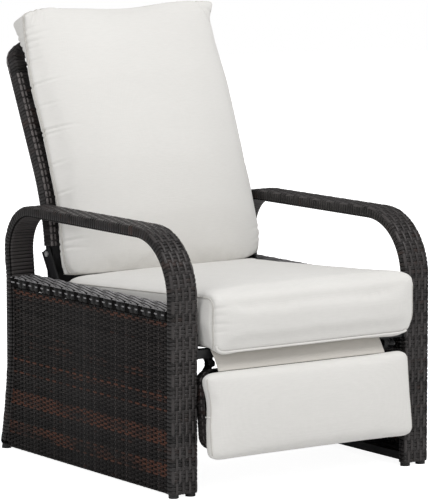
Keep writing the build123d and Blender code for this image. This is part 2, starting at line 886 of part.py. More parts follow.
def back_cushion():
    sections = []
    length = back_cushion_end - back_cushion_start
    panel_front = panel_offset + back_panel_thickness / 2
    rear_crown = back_seam_offset - back_seam_width / 2 - panel_front - soft_gap
    for along, width, front, rear in back_cushion_shares:
        y, z, lean = back_place(back_cushion_start + along * length, back_seam_offset)
        down = (0, -sin(radians(lean)), -cos(radians(lean)))
        place = Plane(origin=(0, y, z), x_dir=(1, 0, 0), z_dir=down)
        sections.append(soft_section(
            place, back_cushion_half_width * width, -back_seam_width / 2, back_seam_width / 2,
            rear_crown * rear, back_cushion_crown * front, back_edge_bulge))
    return loft(sections, ruled=True)


def footrest_cushion():
    sections = []
    face = footrest_plane()
    for along, width, low, high, crown in foot_cushion_shares:
        down = along * foot_cushion_length + foot_cushion_rise
        origin = face.from_local_coords((0, down, -soft_gap))
        place = Plane(origin=origin, x_dir=(1, 0, 0), z_dir=face.y_dir)
        sections.append(soft_section(
            place, foot_cushion_half_width * width, foot_cushion_thickness * low,
            foot_cushion_thickness * high, 0, foot_cushion_crown * crown, foot_edge_bulge))
    return loft(sections, ruled=True)


def fabric_flap():
    """Cloth strip that hangs from the seat cushion to the top of the footrest cushion."""
    top = (flap_top_y, seat_plane(flap_top_y) - soft_gap)
    end_z = footrest_point(foot_cushion_rise, -foot_cushion_thickness)[1] + soft_gap
    end = (flap_end_y, end_z)
    front = bowed(top, end, -flap_bow)
    rear = bowed((end[0] + flap_thickness, end_z), (top[0] + flap_thickness, top[1]), flap_bow)
    hem = Line(end, (end[0] + flap_thickness, end_z)).edge()
    head = Line((top[0] + flap_thickness, top[1]), top).edge()
    outline = make_face(Wire([front, hem, rear, head]))
    return crosswise(outline, 0, 0, -flap_half_width, flap_half_width)


nodes = {}


def keep(name, *pieces):
    """File solids under a node name."""
    solids = []
    for piece in pieces:
        solids.extend(piece.solids())
    nodes.setdefault(name, []).extend(solids)


def keep_pair(name, *pieces):
    """File right-hand solids and their mirror images as two nodes."""
    keep(name + "_right", *pieces)
    keep(name + "_left", *[mirror(piece, about=Plane.YZ) for piece in pieces])


def keep_group(name, *pieces):
    """File right-hand solids and their mirror images as one node."""
    keep(name, *pieces, *[mirror(piece, about=Plane.YZ) for piece in pieces])


band = side_band()
stay_screw, stay_nut, stay_spacer = stay_bolt_piece()
pivot_screw, pivot_nut = pivot_bolt()

keep_pair("side_tubes", *side_tubes())
keep_pair("side_wrap", side_wrap())
keep_pair("waist_tubes", *waist_tubes())
keep_pair("waist_wrap", waist_wrap())
keep_pair("side_panel", side_panel())
keep_pair("bottom_rails", *bottom_rails())
keep_group("foot_glides", *foot_glides())
keep_pair("seat_side_rail", seat_side_rail())
keep("seat_front_rail", seat_front_rail())
keep("seat_rear_rail", seat_rear_rail())
keep("rear_cross_rail", rear_cross_rail())
keep("seat_slats", *seat_slats())
keep_group("seat_flanges", *seat_flanges())
keep_group("flange_bolts", *flange_bolts())
keep_pair("hinge_plates", *hinge_plates())
keep_group("guide_pins", guide_pins())
keep_pair("footrest_ears", *foot_ears())
keep_group("pivot_bolts", pivot_screw)
keep_group("pivot_nuts", pivot_nut)
keep_pair("back_side_tube", back_side_tube())
keep_pair("back_side_wrap", back_side_wrap())
keep("back_top_tube", back_top_tube())
keep("back_top_wrap", back_top_wrap())
keep("back_low_bar", back_low_bar())
keep("back_panel", back_panel())
keep("back_panel_bar", back_panel_bar())
keep_pair("back_crank", back_crank())
keep_group("pivot_bushes", pivot_bush())
keep_group("stay_bolts", stay_screw)
keep_group("stay_nuts", stay_nut)
keep_group("stay_spacers", stay_spacer)
keep_pair("stay_bar", stay_bar())
keep_pair("push_link", push_link())
keep_group("back_link_pins", link_pin(back_link_eye, link_inner - side_play, crank_outer))
keep_group("footrest_link_pins", link_pin(foot_link_eye, foot_crank_inner, link_outer + side_play))
keep_group("footrest_hinge_pins", foot_hinge_pin())
keep("footrest_tray", footrest_tray())
keep("footrest_frame", footrest_frame())
keep_pair("footrest_crank", foot_crank())
keep("seat_cushion", seat_cushion())
keep("back_cushion", back_cushion())
keep("footrest_cushion", footrest_cushion())
keep("fabric_flap", fabric_flap())

everything = Compound([solid for solids in nodes.values() for solid in solids])
origin_shift = -everything.bounding_box().center().Y

os.makedirs("parts", exist_ok=True)
for name, solids in nodes.items():
    shape = Pos(0, origin_shift, 0) * Compound(solids)
    export_step(shape, f"parts/{name}.step")

box = everything.bounding_box()
print("nodes", len(nodes), "size", [round(v, 1) for v in box.size], "shift", round(origin_shift, 2))
print("stay slot from", round(stay_reach, 1), "to", round(stay_reach_leaned, 1))
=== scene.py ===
# %% [markdown]
# # A reclining garden armchair in woven resin
# The steel frame, the hinges and the links come from the CAD model. This script dresses them:
# it weaves the wicker over the frame, sews the cushions, and sets up a plain studio.

# %% Load the frame
import json
import math
import random
import bmesh
import bpy
import numpy as np
from mathutils import Matrix, Vector
from mathutils.bvhtree import BVHTree
from mathutils.kdtree import KDTree


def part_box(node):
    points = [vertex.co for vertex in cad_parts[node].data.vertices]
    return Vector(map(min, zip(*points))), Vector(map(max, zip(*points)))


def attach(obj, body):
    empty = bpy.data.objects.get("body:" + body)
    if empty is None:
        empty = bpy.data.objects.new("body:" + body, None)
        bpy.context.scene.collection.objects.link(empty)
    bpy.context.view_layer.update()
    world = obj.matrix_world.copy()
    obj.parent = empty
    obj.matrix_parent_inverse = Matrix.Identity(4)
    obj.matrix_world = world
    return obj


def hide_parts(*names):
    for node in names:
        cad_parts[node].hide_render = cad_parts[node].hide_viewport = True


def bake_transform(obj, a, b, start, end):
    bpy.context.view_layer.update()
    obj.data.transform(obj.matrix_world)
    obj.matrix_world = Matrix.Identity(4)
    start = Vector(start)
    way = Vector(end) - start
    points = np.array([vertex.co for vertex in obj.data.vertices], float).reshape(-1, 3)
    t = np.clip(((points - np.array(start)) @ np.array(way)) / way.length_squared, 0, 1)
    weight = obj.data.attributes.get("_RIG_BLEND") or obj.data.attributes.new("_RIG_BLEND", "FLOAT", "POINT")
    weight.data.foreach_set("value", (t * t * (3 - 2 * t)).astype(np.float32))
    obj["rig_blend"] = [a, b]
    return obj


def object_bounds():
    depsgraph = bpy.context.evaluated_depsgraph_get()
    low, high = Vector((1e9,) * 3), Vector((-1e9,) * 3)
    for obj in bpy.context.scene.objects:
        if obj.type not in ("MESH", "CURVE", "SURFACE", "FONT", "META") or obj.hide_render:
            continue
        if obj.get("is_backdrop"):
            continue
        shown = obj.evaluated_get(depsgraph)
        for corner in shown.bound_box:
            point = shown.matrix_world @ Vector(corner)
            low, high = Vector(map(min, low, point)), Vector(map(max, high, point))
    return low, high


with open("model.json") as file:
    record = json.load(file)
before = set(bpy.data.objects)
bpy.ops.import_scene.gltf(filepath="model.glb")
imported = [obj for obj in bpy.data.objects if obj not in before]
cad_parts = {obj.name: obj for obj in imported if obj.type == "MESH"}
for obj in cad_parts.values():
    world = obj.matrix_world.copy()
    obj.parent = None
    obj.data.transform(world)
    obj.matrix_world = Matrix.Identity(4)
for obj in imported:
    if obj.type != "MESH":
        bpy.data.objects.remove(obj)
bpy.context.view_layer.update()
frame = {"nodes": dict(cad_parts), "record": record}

# %% [markdown]
# ## Camera
# The photograph was taken from in front of the left arm, a little above the seat, through a long
# lens. The place and the lens were worked out from the chair's known width.

# %% Camera
PHOTO_HEIGHT = 500
FOCAL_PIXELS = 3192
SENSOR = 36.0
camera_data = bpy.data.cameras.new("camera")
camera_data.sensor_width = SENSOR
camera_data.lens = FOCAL_PIXELS * SENSOR / PHOTO_HEIGHT
camera_data.clip_start, camera_data.clip_end = 0.5, 60
camera = bpy.data.objects.new("camera", camera_data)
camera.location = (-4.1178, -5.9847, 1.4219)
look_at = Vector((0.0009, -0.0240, 0.4796))
camera.rotation_mode = "QUATERNION"
camera.rotation_quaternion = (look_at - camera.location).to_track_quat("-Z", "Y")
bpy.context.scene.collection.objects.link(camera)
bpy.context.scene.camera = camera
bpy.context.scene.view_settings.view_transform = "Standard"
print("lens", round(camera_data.lens, 1), "mm")

# %% [markdown]
# ## Material helper
# A material here is a small net of nodes. `Net` adds nodes and joins them by name, so that each
# finish below reads as a recipe.

# %% Material helper
class Net:
    """The nodes of a new material or world, and a short way to add and join them."""

    def __init__(self, name, kind="materials", shader="Principled BSDF"):
        self.owner = getattr(bpy.data, kind).new(name)
        self.owner.use_nodes = True
        self.tree = self.owner.node_tree
        self.shader = self.tree.nodes[shader]

    def add(self, kind, settings=None, **inputs):
        node = self.tree.nodes.new(kind)
        for key, value in (settings or {}).items():
            setattr(node, key, value)
        for key, value in inputs.items():
            self.feed(node, key.replace("_", " "), value)
        return node

    def feed(self, node, socket, value):
        target = node.inputs[int(socket)] if socket.isdigit() else node.inputs[socket]
        if isinstance(value, bpy.types.NodeSocket):
            self.tree.links.new(value, target)
        else:
            target.default_value = value

    def attribute(self, name):
        return self.add("ShaderNodeAttribute", {"attribute_name": name})

    def place(self):
        return self.add("ShaderNodeTexCoord").outputs["Object"]

    def stretched(self, vector, scale):
        return self.add("ShaderNodeMapping", Vector=vector, Scale=scale).outputs[0]

    def noise(self, vector, scale, detail=2.0):
        return self.add("ShaderNodeTexNoise", Vector=vector, Scale=scale, Detail=detail).outputs["Fac"]

    def ramp(self, value, stops):
        """Colours between (place, colour) stops."""
        node = self.add("ShaderNodeValToRGB", Fac=value)
        band = node.color_ramp.elements
        while len(band) < len(stops):
            band.new(0.5)
        for element, (position, colour) in zip(band, stops):
            element.position = position
            element.color = (*colour, 1) if len(colour) == 3 else colour
        return node.outputs["Color"]

    def math(self, operation, first, second=0.0):
        node = self.add("ShaderNodeMath", {"operation": operation})
        self.feed(node, "0", first)
        self.feed(node, "1", second)
        return node.outputs[0]

    def mix(self, factor, first, second):
        node = self.add("ShaderNodeMix", {"data_type": "RGBA"})
        for socket, value in (("0", factor), ("6", first), ("7", second)):
            self.feed(node, socket, value)
        return node.outputs[2]

    def bump(self, height, strength, distance, under=None):
        node = self.add("ShaderNodeBump", Height=height, Strength=strength, Distance=distance)
        if under is not None:
            self.feed(node, "Normal", under)
        return node.outputs[0]

    def finish(self, **values):
        for key, value in values.items():
            self.feed(self.shader, key.replace("_", " "), value)
        return self.owner


def grey(level):
    return (level, level, level)

# %% [markdown]
# ## Floor and light
# The photograph has no visible floor. The chair stands on a wide white sheet under a white sky, and
# the camera sees the sheet brighter than it is, so that only a soft shadow stays.

# %% Floor and sky
FLOOR_WHITE, FLOOR_GLOW, FLOOR_HALF, FLOOR_SHIFT = 0.80, 0.93, 9, 2
SKY_LIGHT, SKY_SEEN, SKY_IN_GLOSS = 0.58, 1.0, 0.2
sweep_net = Net("studio_white")
rays = sweep_net.add("ShaderNodeLightPath")
seen = sweep_net.math("MAXIMUM", rays.outputs["Is Camera Ray"], rays.outputs["Is Transmission Ray"])
glow = sweep_net.math("MULTIPLY", seen, FLOOR_GLOW)
studio_white = sweep_net.finish(
    Base_Color=(*grey(FLOOR_WHITE), 1), Roughness=1.0, Specular_IOR_Level=0.0,
    Emission_Color=(1, 1, 1, 1), Emission_Strength=glow)


def finished(bm, name, material):
    """A smooth mesh object from a bmesh, linked to the scene."""
    mesh = bpy.data.meshes.new(name)
    bm.to_mesh(mesh)
    bm.free()
    for polygon in mesh.polygons:
        polygon.use_smooth = True
    mesh.materials.append(material)
    obj = bpy.data.objects.new(name, mesh)
    bpy.context.scene.collection.objects.link(obj)
    return obj


bm = bmesh.new()
bmesh.ops.create_grid(bm, x_segments=1, y_segments=1, size=FLOOR_HALF)
bmesh.ops.translate(bm, verts=bm.verts, vec=(0, FLOOR_SHIFT, 0))
floor = finished(bm, "studio_floor", studio_white)
floor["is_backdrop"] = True

sky = Net("studio", "worlds", "Background")
rays = sky.add("ShaderNodeLightPath").outputs
level = sky.add("ShaderNodeMapRange", Value=rays["Is Camera Ray"], To_Min=SKY_LIGHT, To_Max=SKY_SEEN)
dimmed = sky.add("ShaderNodeMapRange", Value=rays["Is Glossy Ray"], To_Min=level.outputs[0],
                 To_Max=SKY_IN_GLOSS)
bpy.context.scene.world = sky.finish(Color=(1, 1, 1, 1), Strength=dimmed.outputs[0])
print("floor", 2 * FLOOR_HALF, "m wide, sky", SKY_LIGHT)

# %% Lamps
LAMP_AIM = Vector((0, 0, 0.5))


def softbox(name, place, size, power):
    """Square area lamp turned towards the chair."""
    data = bpy.data.lights.new(name, "AREA")
    data.shape, data.size, data.energy = "SQUARE", size, power
    lamp = bpy.data.objects.new(name, data)
    lamp.location = place
    lamp.rotation_mode = "QUATERNION"
    lamp.rotation_quaternion = (LAMP_AIM - Vector(place)).to_track_quat("-Z", "Y")
    bpy.context.scene.collection.objects.link(lamp)
    print(name, power, "W")


softbox("key_lamp", (0.5, -2.4, 4.2), 1.8, 92)
softbox("fill_lamp", (-3.6, -1.2, 2.2), 2.2, 26)

# %% [markdown]
# ## Resin wicker
# The strands are extruded resin, half round, with fine grooves along them. Their colour runs from
# near black to a warm brown, and changes from strand to strand. Each strand carries an attribute
# with its own tone and with the place across and along it, so the grooves follow every bend. A
# second one, "warm", turns a strand brown above zero, and lighter below zero: the paler stakes of
# the side panels are real, but on the other strands this is painted light and painted highlight.

# %% Wicker finish
BROWN, RED_BROWN = (0.050, 0.030, 0.025), (0.088, 0.036, 0.023)
PALE_AND_PAINTED_LIGHT_TIMES = 4.6


def wicker(name, dark, light, warm, warm_share, roughness=0.36, gloss=0.32):
    """Resin between a dark and a light tone; `warm_share` is how much of it is brown."""
    net = Net(name)
    strand, own = net.attribute("strand"), net.attribute("warm").outputs["Fac"]
    tone, across, along = net.add("ShaderNodeSeparateXYZ", Vector=strand.outputs["Vector"]).outputs
    place = net.place()
    patches = net.noise(place, 34.0, 3.0)
    drawn_out = net.math("MULTIPLY", along, 0.04)
    lengthwise = net.add("ShaderNodeCombineXYZ", X=tone, Y=across, Z=drawn_out).outputs[0]
    grain = net.noise(lengthwise, 5.0, 3.0)
    level = net.math("ADD", net.math("MULTIPLY", tone, 0.55), net.math("MULTIPLY", patches, 0.45))
    level = net.math("ADD", level, net.math("MULTIPLY", net.math("SUBTRACT", grain, 0.5), 0.6))
    colour = net.ramp(level, [(0.18, dark), (0.62, light)])
    streaks = net.noise(net.stretched(place, (3.0, 1.2, 3.0)), 9.0, 3.0)
    warmth = net.math("ADD", net.math("MULTIPLY", own, 0.55), streaks)
    brown = net.ramp(warmth, [(1 - warm_share, grey(0)), (min(1.0, 1.25 - warm_share), grey(1))])
    colour = net.mix(brown, colour, (*warm, 1))
    # Below zero the strand is lightened: paler stakes, and elsewhere painted light and painted highlight.
    pale_and_painted_light = net.ramp(net.math("MULTIPLY", own, -0.4), [(0.16, grey(0)), (0.4, grey(0.35)), (1.0, grey(1))])
    colour = net.mix(pale_and_painted_light, colour, (*(PALE_AND_PAINTED_LIGHT_TIMES * c for c in light), 1))
    grooves = net.noise(net.stretched(lengthwise, (1, 1.6, 0.4)), 9.0, 2.0)
    normal = net.bump(grooves, 0.35, 0.0006)
    rough = net.ramp(grain, [(0.2, grey(roughness - 0.07)), (0.8, grey(roughness + 0.12))])
    return net.finish(Base_Color=colour, Roughness=rough, Normal=normal, Specular_IOR_Level=gloss)


band_wicker = wicker("wicker_band", (0.0100, 0.0088, 0.0086), (0.036, 0.0325, 0.032), BROWN, 0.26)
panel_wicker = wicker("wicker_panel", (0.0078, 0.0070, 0.0070), (0.0260, 0.0226, 0.0216), RED_BROWN,
                      0.30, 0.45, 0.18)
# The waist resin has a much lighter light tone than the band: painted highlight on its strands.
waist_wicker_painted_highlight = wicker("wicker_waist_painted_highlight", (0.0070, 0.0066, 0.0067), (0.090, 0.088, 0.090), BROWN,
                      0.20, 0.40, 0.22)
# The cores under the weave are painted near black: painted shade seen through the gaps.
weave_core_painted_shade = wicker("weave_core_painted_shade", (0.0030, 0.0026, 0.0026), (0.0060, 0.0052, 0.0052),
                    (0.006, 0.004, 0.004), 0.10, 0.6, 0.05)

# %% [markdown]
# ## Steel, zinc and moulded plastic
# The frame is powder coated black, with the fine orange-peel that the powder leaves. Bolts and
# pins are zinc plated. The glides are moulded plastic.

# %% Metal and plastic finishes
def coated_steel(name, colour, roughness, peel):
    """A dark coat with a little dust and a fine orange peel."""
    net = Net(name)
    place = net.place()
    dust = net.noise(place, 12.0, 4.0)
    colour_out = net.ramp(dust, [(0.3, colour), (0.75, tuple(c * 1.8 for c in colour))])
    normal = net.bump(net.noise(place, 900.0, 2.0), peel, 0.0003)
    return net.finish(Base_Color=colour_out, Roughness=roughness, Normal=normal)


def zinc_plate(name, metallic=1.0, level=1.0):
    """Zinc with its spangle; `level` below 1 darkens the plating, as painted shade."""
    net = Net(name)
    place = net.place()
    spangle = net.noise(place, 260.0, 3.0)
    colour = net.ramp(spangle, [(0.3, grey(0.42 * level)), (0.7, grey(0.62 * level))])
    rough = net.ramp(spangle, [(0.3, grey(0.25)), (0.8, grey(0.42))])
    return net.finish(Base_Color=colour, Roughness=rough, Metallic=metallic,
                      Normal=net.bump(spangle, 0.1, 0.0002))


black_steel = coated_steel("black_steel", (0.011, 0.011, 0.012), 0.38, 0.25)
black_plastic = coated_steel("black_plastic", (0.014, 0.014, 0.014), 0.55, 0.4)
zinc_steel = zinc_plate("zinc_steel")
bright_zinc = zinc_plate("bright_zinc", 0.3)
# The hinge and link pins are darkened: painted shade where the flap hides them.
zinc_painted_shade = zinc_plate("zinc_painted_shade", 1.0, 0.2)
own_finish = {"stay_bolts": bright_zinc, "footrest_hinge_pins": zinc_painted_shade, "footrest_link_pins": zinc_painted_shade}
slot_finish = {"wicker_band": weave_core_painted_shade, "wicker_panel": weave_core_painted_shade, "black_steel": black_steel,
               "zinc_steel": zinc_steel, "black_plastic": black_plastic}

for part in frame["record"]["subparts"]:
    finish = slot_finish.get(part["material_slot"])
    if finish:
        node = frame["nodes"][part["node"]]
        node.data.materials.clear()
        node.data.materials.append(own_finish.get(part["node"], finish))

# %% [markdown]
# ## Weaving flat, then bending
# A woven sleeve is hard to model in place and easy to model flat. So each strand is a ring of a few
# corners that is spun straight into a closed tube, copied in rows, and lifted over and under its
# neighbours. Then the flat weave is bent: across becomes the way round the rail's section, and
# along becomes the way down the rail.

# %% Strands
MM = 0.001
SIDES = (("left", -1), ("right", 1))
rng = random.Random(11)


def new_weave():
    """An empty flat weave with room for each strand's tone, its place along itself, and its warmth."""
    bm = bmesh.new()
    bm.verts.layers.float_vector.new("strand")
    bm.verts.layers.float.new("warm")
    return bm


def lay(run, count, width, thickness, sides, lift):
    """One strand along a run, in `count` equal steps; `lift` is its height at a distance along it."""
    bm = new_weave()
    step = Vector([reach / count for reach in run])
    along, up = step.normalized(), Vector((0, 0, 1))
    across = up.cross(along)
    section = Matrix((across * width, up * thickness, along)).transposed().to_4x4()
    bmesh.ops.create_circle(bm, segments=sides, radius=0.5, matrix=section)
    bmesh.ops.spin(bm, geom=bm.edges[:], cent=(0, 0, 0), axis=up, dvec=step, angle=0, steps=count)
    layer = layers_of(bm)[0]
    for vert in bm.verts:
        vert[layer] = (0.5, vert.co.dot(across) / MM, vert.co.dot(along) / MM)
        vert.co.z += lift(vert.co.dot(along))
    return bm


def layers_of(bm):
    """The two layers of a weave: tone with place, and warmth."""
    return bm.verts.layers.float_vector["strand"], bm.verts.layers.float["warm"]


def copies(bm, strand, places, warmth=lambda place: rng.random() * 0.5, tones=rng.random):
    """Copies of a strand, moved by each of the places, each with a tone of its own."""
    layer, warm = layers_of(bm)
    mesh = bpy.data.meshes.new("strand")
    strand.to_mesh(mesh)
    strand.free()
    for place in places:
        first = len(bm.verts)
        bm.from_mesh(mesh)
        bm.verts.ensure_lookup_table()
        shift, tone, offset, warmed = Vector(place), tones(), rng.random() * 40, warmth(Vector(place))
        for vert in bm.verts[first:]:
            vert.co += shift
            vert[layer] = (tone, vert[layer].y + offset, vert[layer].z + 3 * offset)
            vert[warm] = warmed
    bpy.data.meshes.remove(mesh)


# %% The rail's section and line
def rounded_outline(width, depth, corner):
    """Distance, place and outward direction round a rounded rectangle, from the middle of its inner side."""
    places, normals = [(0.0, -depth / 2)], [(0.0, -1.0)]
    for quarter, (side, face) in enumerate(((1, -1), (1, 1), (-1, 1), (-1, -1))):
        for share in np.linspace(0, 1, 7):
            angle = math.radians(90 * (quarter - 1 + share))
            out = (math.cos(angle), math.sin(angle))
            places.append((side * (width / 2 - corner) + corner * out[0],
                           face * (depth / 2 - corner) + corner * out[1]))
            normals.append(out)
    places.append(places[0])
    normals.append(normals[0])
    places, normals = np.array(places), np.array(normals)
    reach = np.concatenate(([0], np.cumsum(np.linalg.norm(np.diff(places, axis=0), axis=1))))
    return {"reach": reach, "place": places, "normal": normals}


def flat_outline(width):
    """The same for one open side: a straight line across."""
    return {"reach": np.array([0, width]), "place": np.array([[-width / 2, 0], [width / 2, 0]]),
            "normal": np.array([[0, 1.0], [0, 1.0]])}


def line_of_runs(origin, first, second, heading, runs, piece=0.002):
    """A line in the plane of two directions, from (length, turn in degrees) runs; turns to the right."""
    first, second, origin = Vector(first), Vector(second), Vector(origin)
    spots, outs, reach = [origin.copy()], [], [0.0]
    angle = math.radians(heading)

    def directions():
        ahead = first * math.cos(angle) + second * math.sin(angle)
        return ahead, second * math.cos(angle) - first * math.sin(angle)

    outs.append(directions()[1])
    for length, turn in runs:
        steps = max(1, round(length / piece))
        for _ in range(steps):
            angle -= math.radians(turn) / steps / 2
            spots.append(spots[-1] + directions()[0] * (length / steps))
            angle -= math.radians(turn) / steps / 2
            outs.append(directions()[1])
            reach.append(reach[-1] + length / steps)
    return {"reach": np.array(reach), "place": np.array(spots), "out": np.array(outs),
            "side": np.array(first.cross(second))}


def followed(table, key, distance):
    """Values of a table at distances along it."""
    return np.stack([np.interp(distance, table["reach"], column) for column in table[key].T], axis=1)


def bend(bm, outline, line):
    """Carry a flat weave round a section and along a line, and close its strands."""
    flat = np.array([vert.co for vert in bm.verts])
    section, normal = followed(outline, "place", flat[:, 0]), followed(outline, "normal", flat[:, 0])
    spot, out = followed(line, "place", flat[:, 1]), followed(line, "out", flat[:, 1])
    height = section + normal * flat[:, 2:3]
    bent = spot + out * height[:, 1:2] + line["side"] * height[:, 0:1]
    for vert, place in zip(bm.verts, bent):
        vert.co = place
    bmesh.ops.remove_doubles(bm, verts=bm.verts, dist=1e-6)
    bmesh.ops.holes_fill(bm, edges=[edge for edge in bm.edges if edge.is_boundary], sides=8)
    bmesh.ops.recalc_face_normals(bm, faces=bm.faces)

# %% [markdown]
# ## The basket weave of arms and legs
# Flat strands run along the rail and go over three wraps and under three. Their neighbours do the
# opposite, which makes the brick pattern that the photograph shows on the front leg. The wraps
# go right round, and lie flat on the sides and on the inner face.

# %% Basket weave
COLUMN, WRAP, WRAPS_IN_ROW = 8.6 * MM, 8.8 * MM, 3
ROW = WRAPS_IN_ROW * WRAP
WRAP_LIFT, WRAP_SWING, STRAND_SWING = 0.55, 0.75, 0.95
INNER_PAINTED_LIGHT, SIDE_SHADE = -0.85, 0.25


def wave(turns):
    """A flattened wave between -1 and 1, with one period per turn."""
    swing = math.sin(2 * math.pi * turns)
    return swing / math.sqrt(0.72 * swing * swing + 0.28)


def basket_weave(outline, length, columns, start=0.0):
    """Wraps round the whole section, and lengthwise strands on the outer side."""
    bm = new_weave()
    around = outline["reach"][-1]
    middle = around / 2
    half = columns * COLUMN / 2
    plain_steps = 7
    count = 3 * columns + 2 * plain_steps
    for parity, sign in enumerate((1, -1)):

        def dip(distance):
            """A wrap's height in metres: a wave under the lengthwise strands, level elsewhere."""
            swing, place = 0, (distance - middle) / COLUMN
            if abs(distance - middle) < half:
                swing = WRAP_SWING * sign * math.cos(math.pi * (place - 0.5 * (columns + 1)))
            return (WRAP_LIFT - swing) * MM

        ring = lay((around, 0, 0), count, 0.99 * WRAP, 1.8 * MM, 6, lambda d: 0)
        for vert in ring.verts:
            place = np.interp(round(vert.co.x / around * count), [0, plain_steps, count - plain_steps, count],
                              [0, middle - half, middle + half, around])
            vert.co.x = place
            vert.co.z += dip(place)
        rows = range(parity, math.ceil(length / ROW), 2)
        places = [(0, start + row * ROW + (k + 0.5) * WRAP, 0) for row in rows for k in range(WRAPS_IN_ROW)]
        copies(bm, ring, [place for place in places if place[1] < start + length - WRAP / 2])
    # Painted light: the inner face is made lighter. Painted shade: the narrow sides are made darker.
    layer, warm = layers_of(bm)
    for vert in bm.verts:
        distance = abs(vert.co.x - middle)
        if distance > half + 15 * MM:
            vert[warm] = INNER_PAINTED_LIGHT
        elif distance > half + 1 * MM:
            vert[layer] = (SIDE_SHADE * vert[layer].x, vert[layer].y, vert[layer].z)
    for parity, sign in enumerate((1, -1)):
        strand = lay((0, length, 0), round(length / ROW * 6), 0.84 * COLUMN, 1.7 * MM, 6,
                     lambda d: (WRAP_LIFT + STRAND_SWING * sign * wave(d / (2 * ROW))) * MM)
        places = [(middle + (k + 0.5) * COLUMN - half, start, 0) for k in range(parity, columns, 2)]
        # The lengthwise strands are lightened a little: painted highlight.
        copies(bm, strand, places, lambda place: -0.62 - 0.2 * rng.random())
    return bm


def woven(name, bm, outline, line, finish, body):
    """Bend a flat weave into place, and give it its finish and body."""
    bend(bm, outline, line)
    obj = finished(bm, name, finish)
    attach(obj, body)
    print(name, len(obj.data.polygons), "faces")
    return obj

# %% The side frames' line
SHIFT = 373.33
BAND_MID, BAND_COLUMNS, LEG_FRONT, BAND_START = 317.0, 8, 11.2, 7
WOVEN_CORNER = 5 * MM
band_outline = rounded_outline(66 * MM, 22.4 * MM, WOVEN_CORNER)
REAR_TURN, REAR_SPLAY = 97.3, -21.18
band_runs = [(423 * MM, 0), (136.8 * MM * math.pi / 2, 90), (439 * MM, 0),
             (96.8 * MM * math.radians(REAR_TURN), REAR_TURN), (448.4 * MM, REAR_SPLAY)]
band_length = sum(run[0] for run in band_runs)

# up the front leg, back along the arm and down the rear leg
for side, sign in SIDES:
    foot = (sign * BAND_MID * MM, (LEG_FRONT - SHIFT) * MM, BAND_START * MM)
    line = line_of_runs(foot, (0, 1, 0), (0, 0, 1), 90, band_runs)
    flat = basket_weave(band_outline, band_length - 1 * MM, BAND_COLUMNS, 1 * MM)
    woven(f"side_weave_{side}", flat, band_outline, line, band_wicker, "base")

# %% [markdown]
# ## The waist rails
# The level rail at the waist has the same section, but its wraps lie at a slant. They lean one way
# on top and run back underneath, so each ring still closes.

# %% Slanted wraps
WAIST_PITCH, WAIST_SHEAR = 26 * MM, 3.9
SLANT_WIDTH, SLANT_GAP, SIDE_WIDER = 0.6, 0.36, 1.4
SIDE_DEPTH = 22 * MM


def slanted_wraps(outline, length, pitch, shear):
    """Pairs of wraps that lean on the outer face and return on the inner one, cut off at both ends."""
    bm = new_weave()
    around = outline["reach"][-1]
    middle = around / 2
    face = outline["place"][:, 0].max()
    side_end = face + SIDE_DEPTH
    for parity in (0, 1):
        ring = lay((around, 0, 0), 48, SLANT_WIDTH * pitch, 1.7 * MM, 6, lambda d: 0.3 * MM)
        for vert in ring.verts:
            from_middle = vert.co.x - middle
            outer = max(-face, min(face, from_middle))
            if abs(from_middle) > face:
                vert.co.y *= SIDE_WIDER
            vert.co.y += shear * outer * min(1, (middle - abs(from_middle)) / (middle - side_end))
            swing = wave(from_middle / SIDE_DEPTH + 0.5 * parity)
            vert.co.z += (0.8 * swing if abs(from_middle) < face + 4 * MM else 0) * MM
        margin = int(abs(shear) * face / pitch) + 1
        rows = range(-margin + parity, int(length / pitch) + margin, 2)
        # The slanted wraps are lightened to the full: painted highlight.
        copies(bm, ring, [(0, (row + 0.5 - SLANT_GAP * parity) * pitch, 0) for row in rows],
               lambda place: -1.9 - 0.6 * rng.random())
    # The sides and underside are painted near black: painted shade.
    layer, warm = layers_of(bm)
    for vert in bm.verts:
        if abs(vert.co.x - middle) > face - 1 * MM:
            vert[warm] = 0.0
            vert[layer] = (-0.5, vert[layer].y, vert[layer].z)
    # Light dots along each top edge: painted highlight where the wraps turn the corner.
    for place, phase in ((face - 1.5 * MM, 0), (face + 9 * MM, 1)):
        for side_sign in (-1, 1):
            dots = lay((0, length, 0), int(length / pitch) * 6, 3.6 * MM, 1.5 * MM, 6,
                       lambda d: (-0.2 + 1.6 * math.cos(math.pi * (2 * d / pitch + phase))) * MM)
            copies(bm, dots, [(middle + side_sign * place, 0, 0)], lambda place: -1.5)
    for edge, normal in ((-4 * MM, (0, -1, 0)), (length + 4 * MM, (0, 1, 0))):
        bmesh.ops.bisect_plane(bm, geom=bm.verts[:] + bm.edges[:] + bm.faces[:], plane_co=(0, edge, 0),
                               plane_no=normal, clear_outer=True)
    return bm


for side, sign in SIDES:
    low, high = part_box(f"waist_wrap_{side}")
    waist_length = high[1] - low[1]
    waist_line = line_of_runs((sign * BAND_MID * MM, low[1], (low[2] + high[2]) / 2), (0, 1, 0), (0, 0, 1), 0,
                              [(waist_length, 0)])
    flat = slanted_wraps(band_outline, waist_length, WAIST_PITCH, sign * WAIST_SHEAR)
    woven(f"waist_weave_{side}", flat, band_outline, waist_line, waist_wicker_painted_highlight, "base")

# %% [markdown]
# ## Woven panels
# The side panels and the back panel are plain weave: level strands over and under upright stakes.
# Some rows are brown, and pairs of thin lighter strands stand in the side panels. The strands are
# thick enough to stand out on both faces of the dark sheet behind them, which is painted shade.

# %% Plain weave
STAKE, PANEL_ROW, BACK_ROW = 14.33 * MM, 5.0 * MM, 5.4 * MM
PANEL_DROP, PANEL_MID, LIGHT_STAKE = 5 * MM, 344 * MM, -1.3


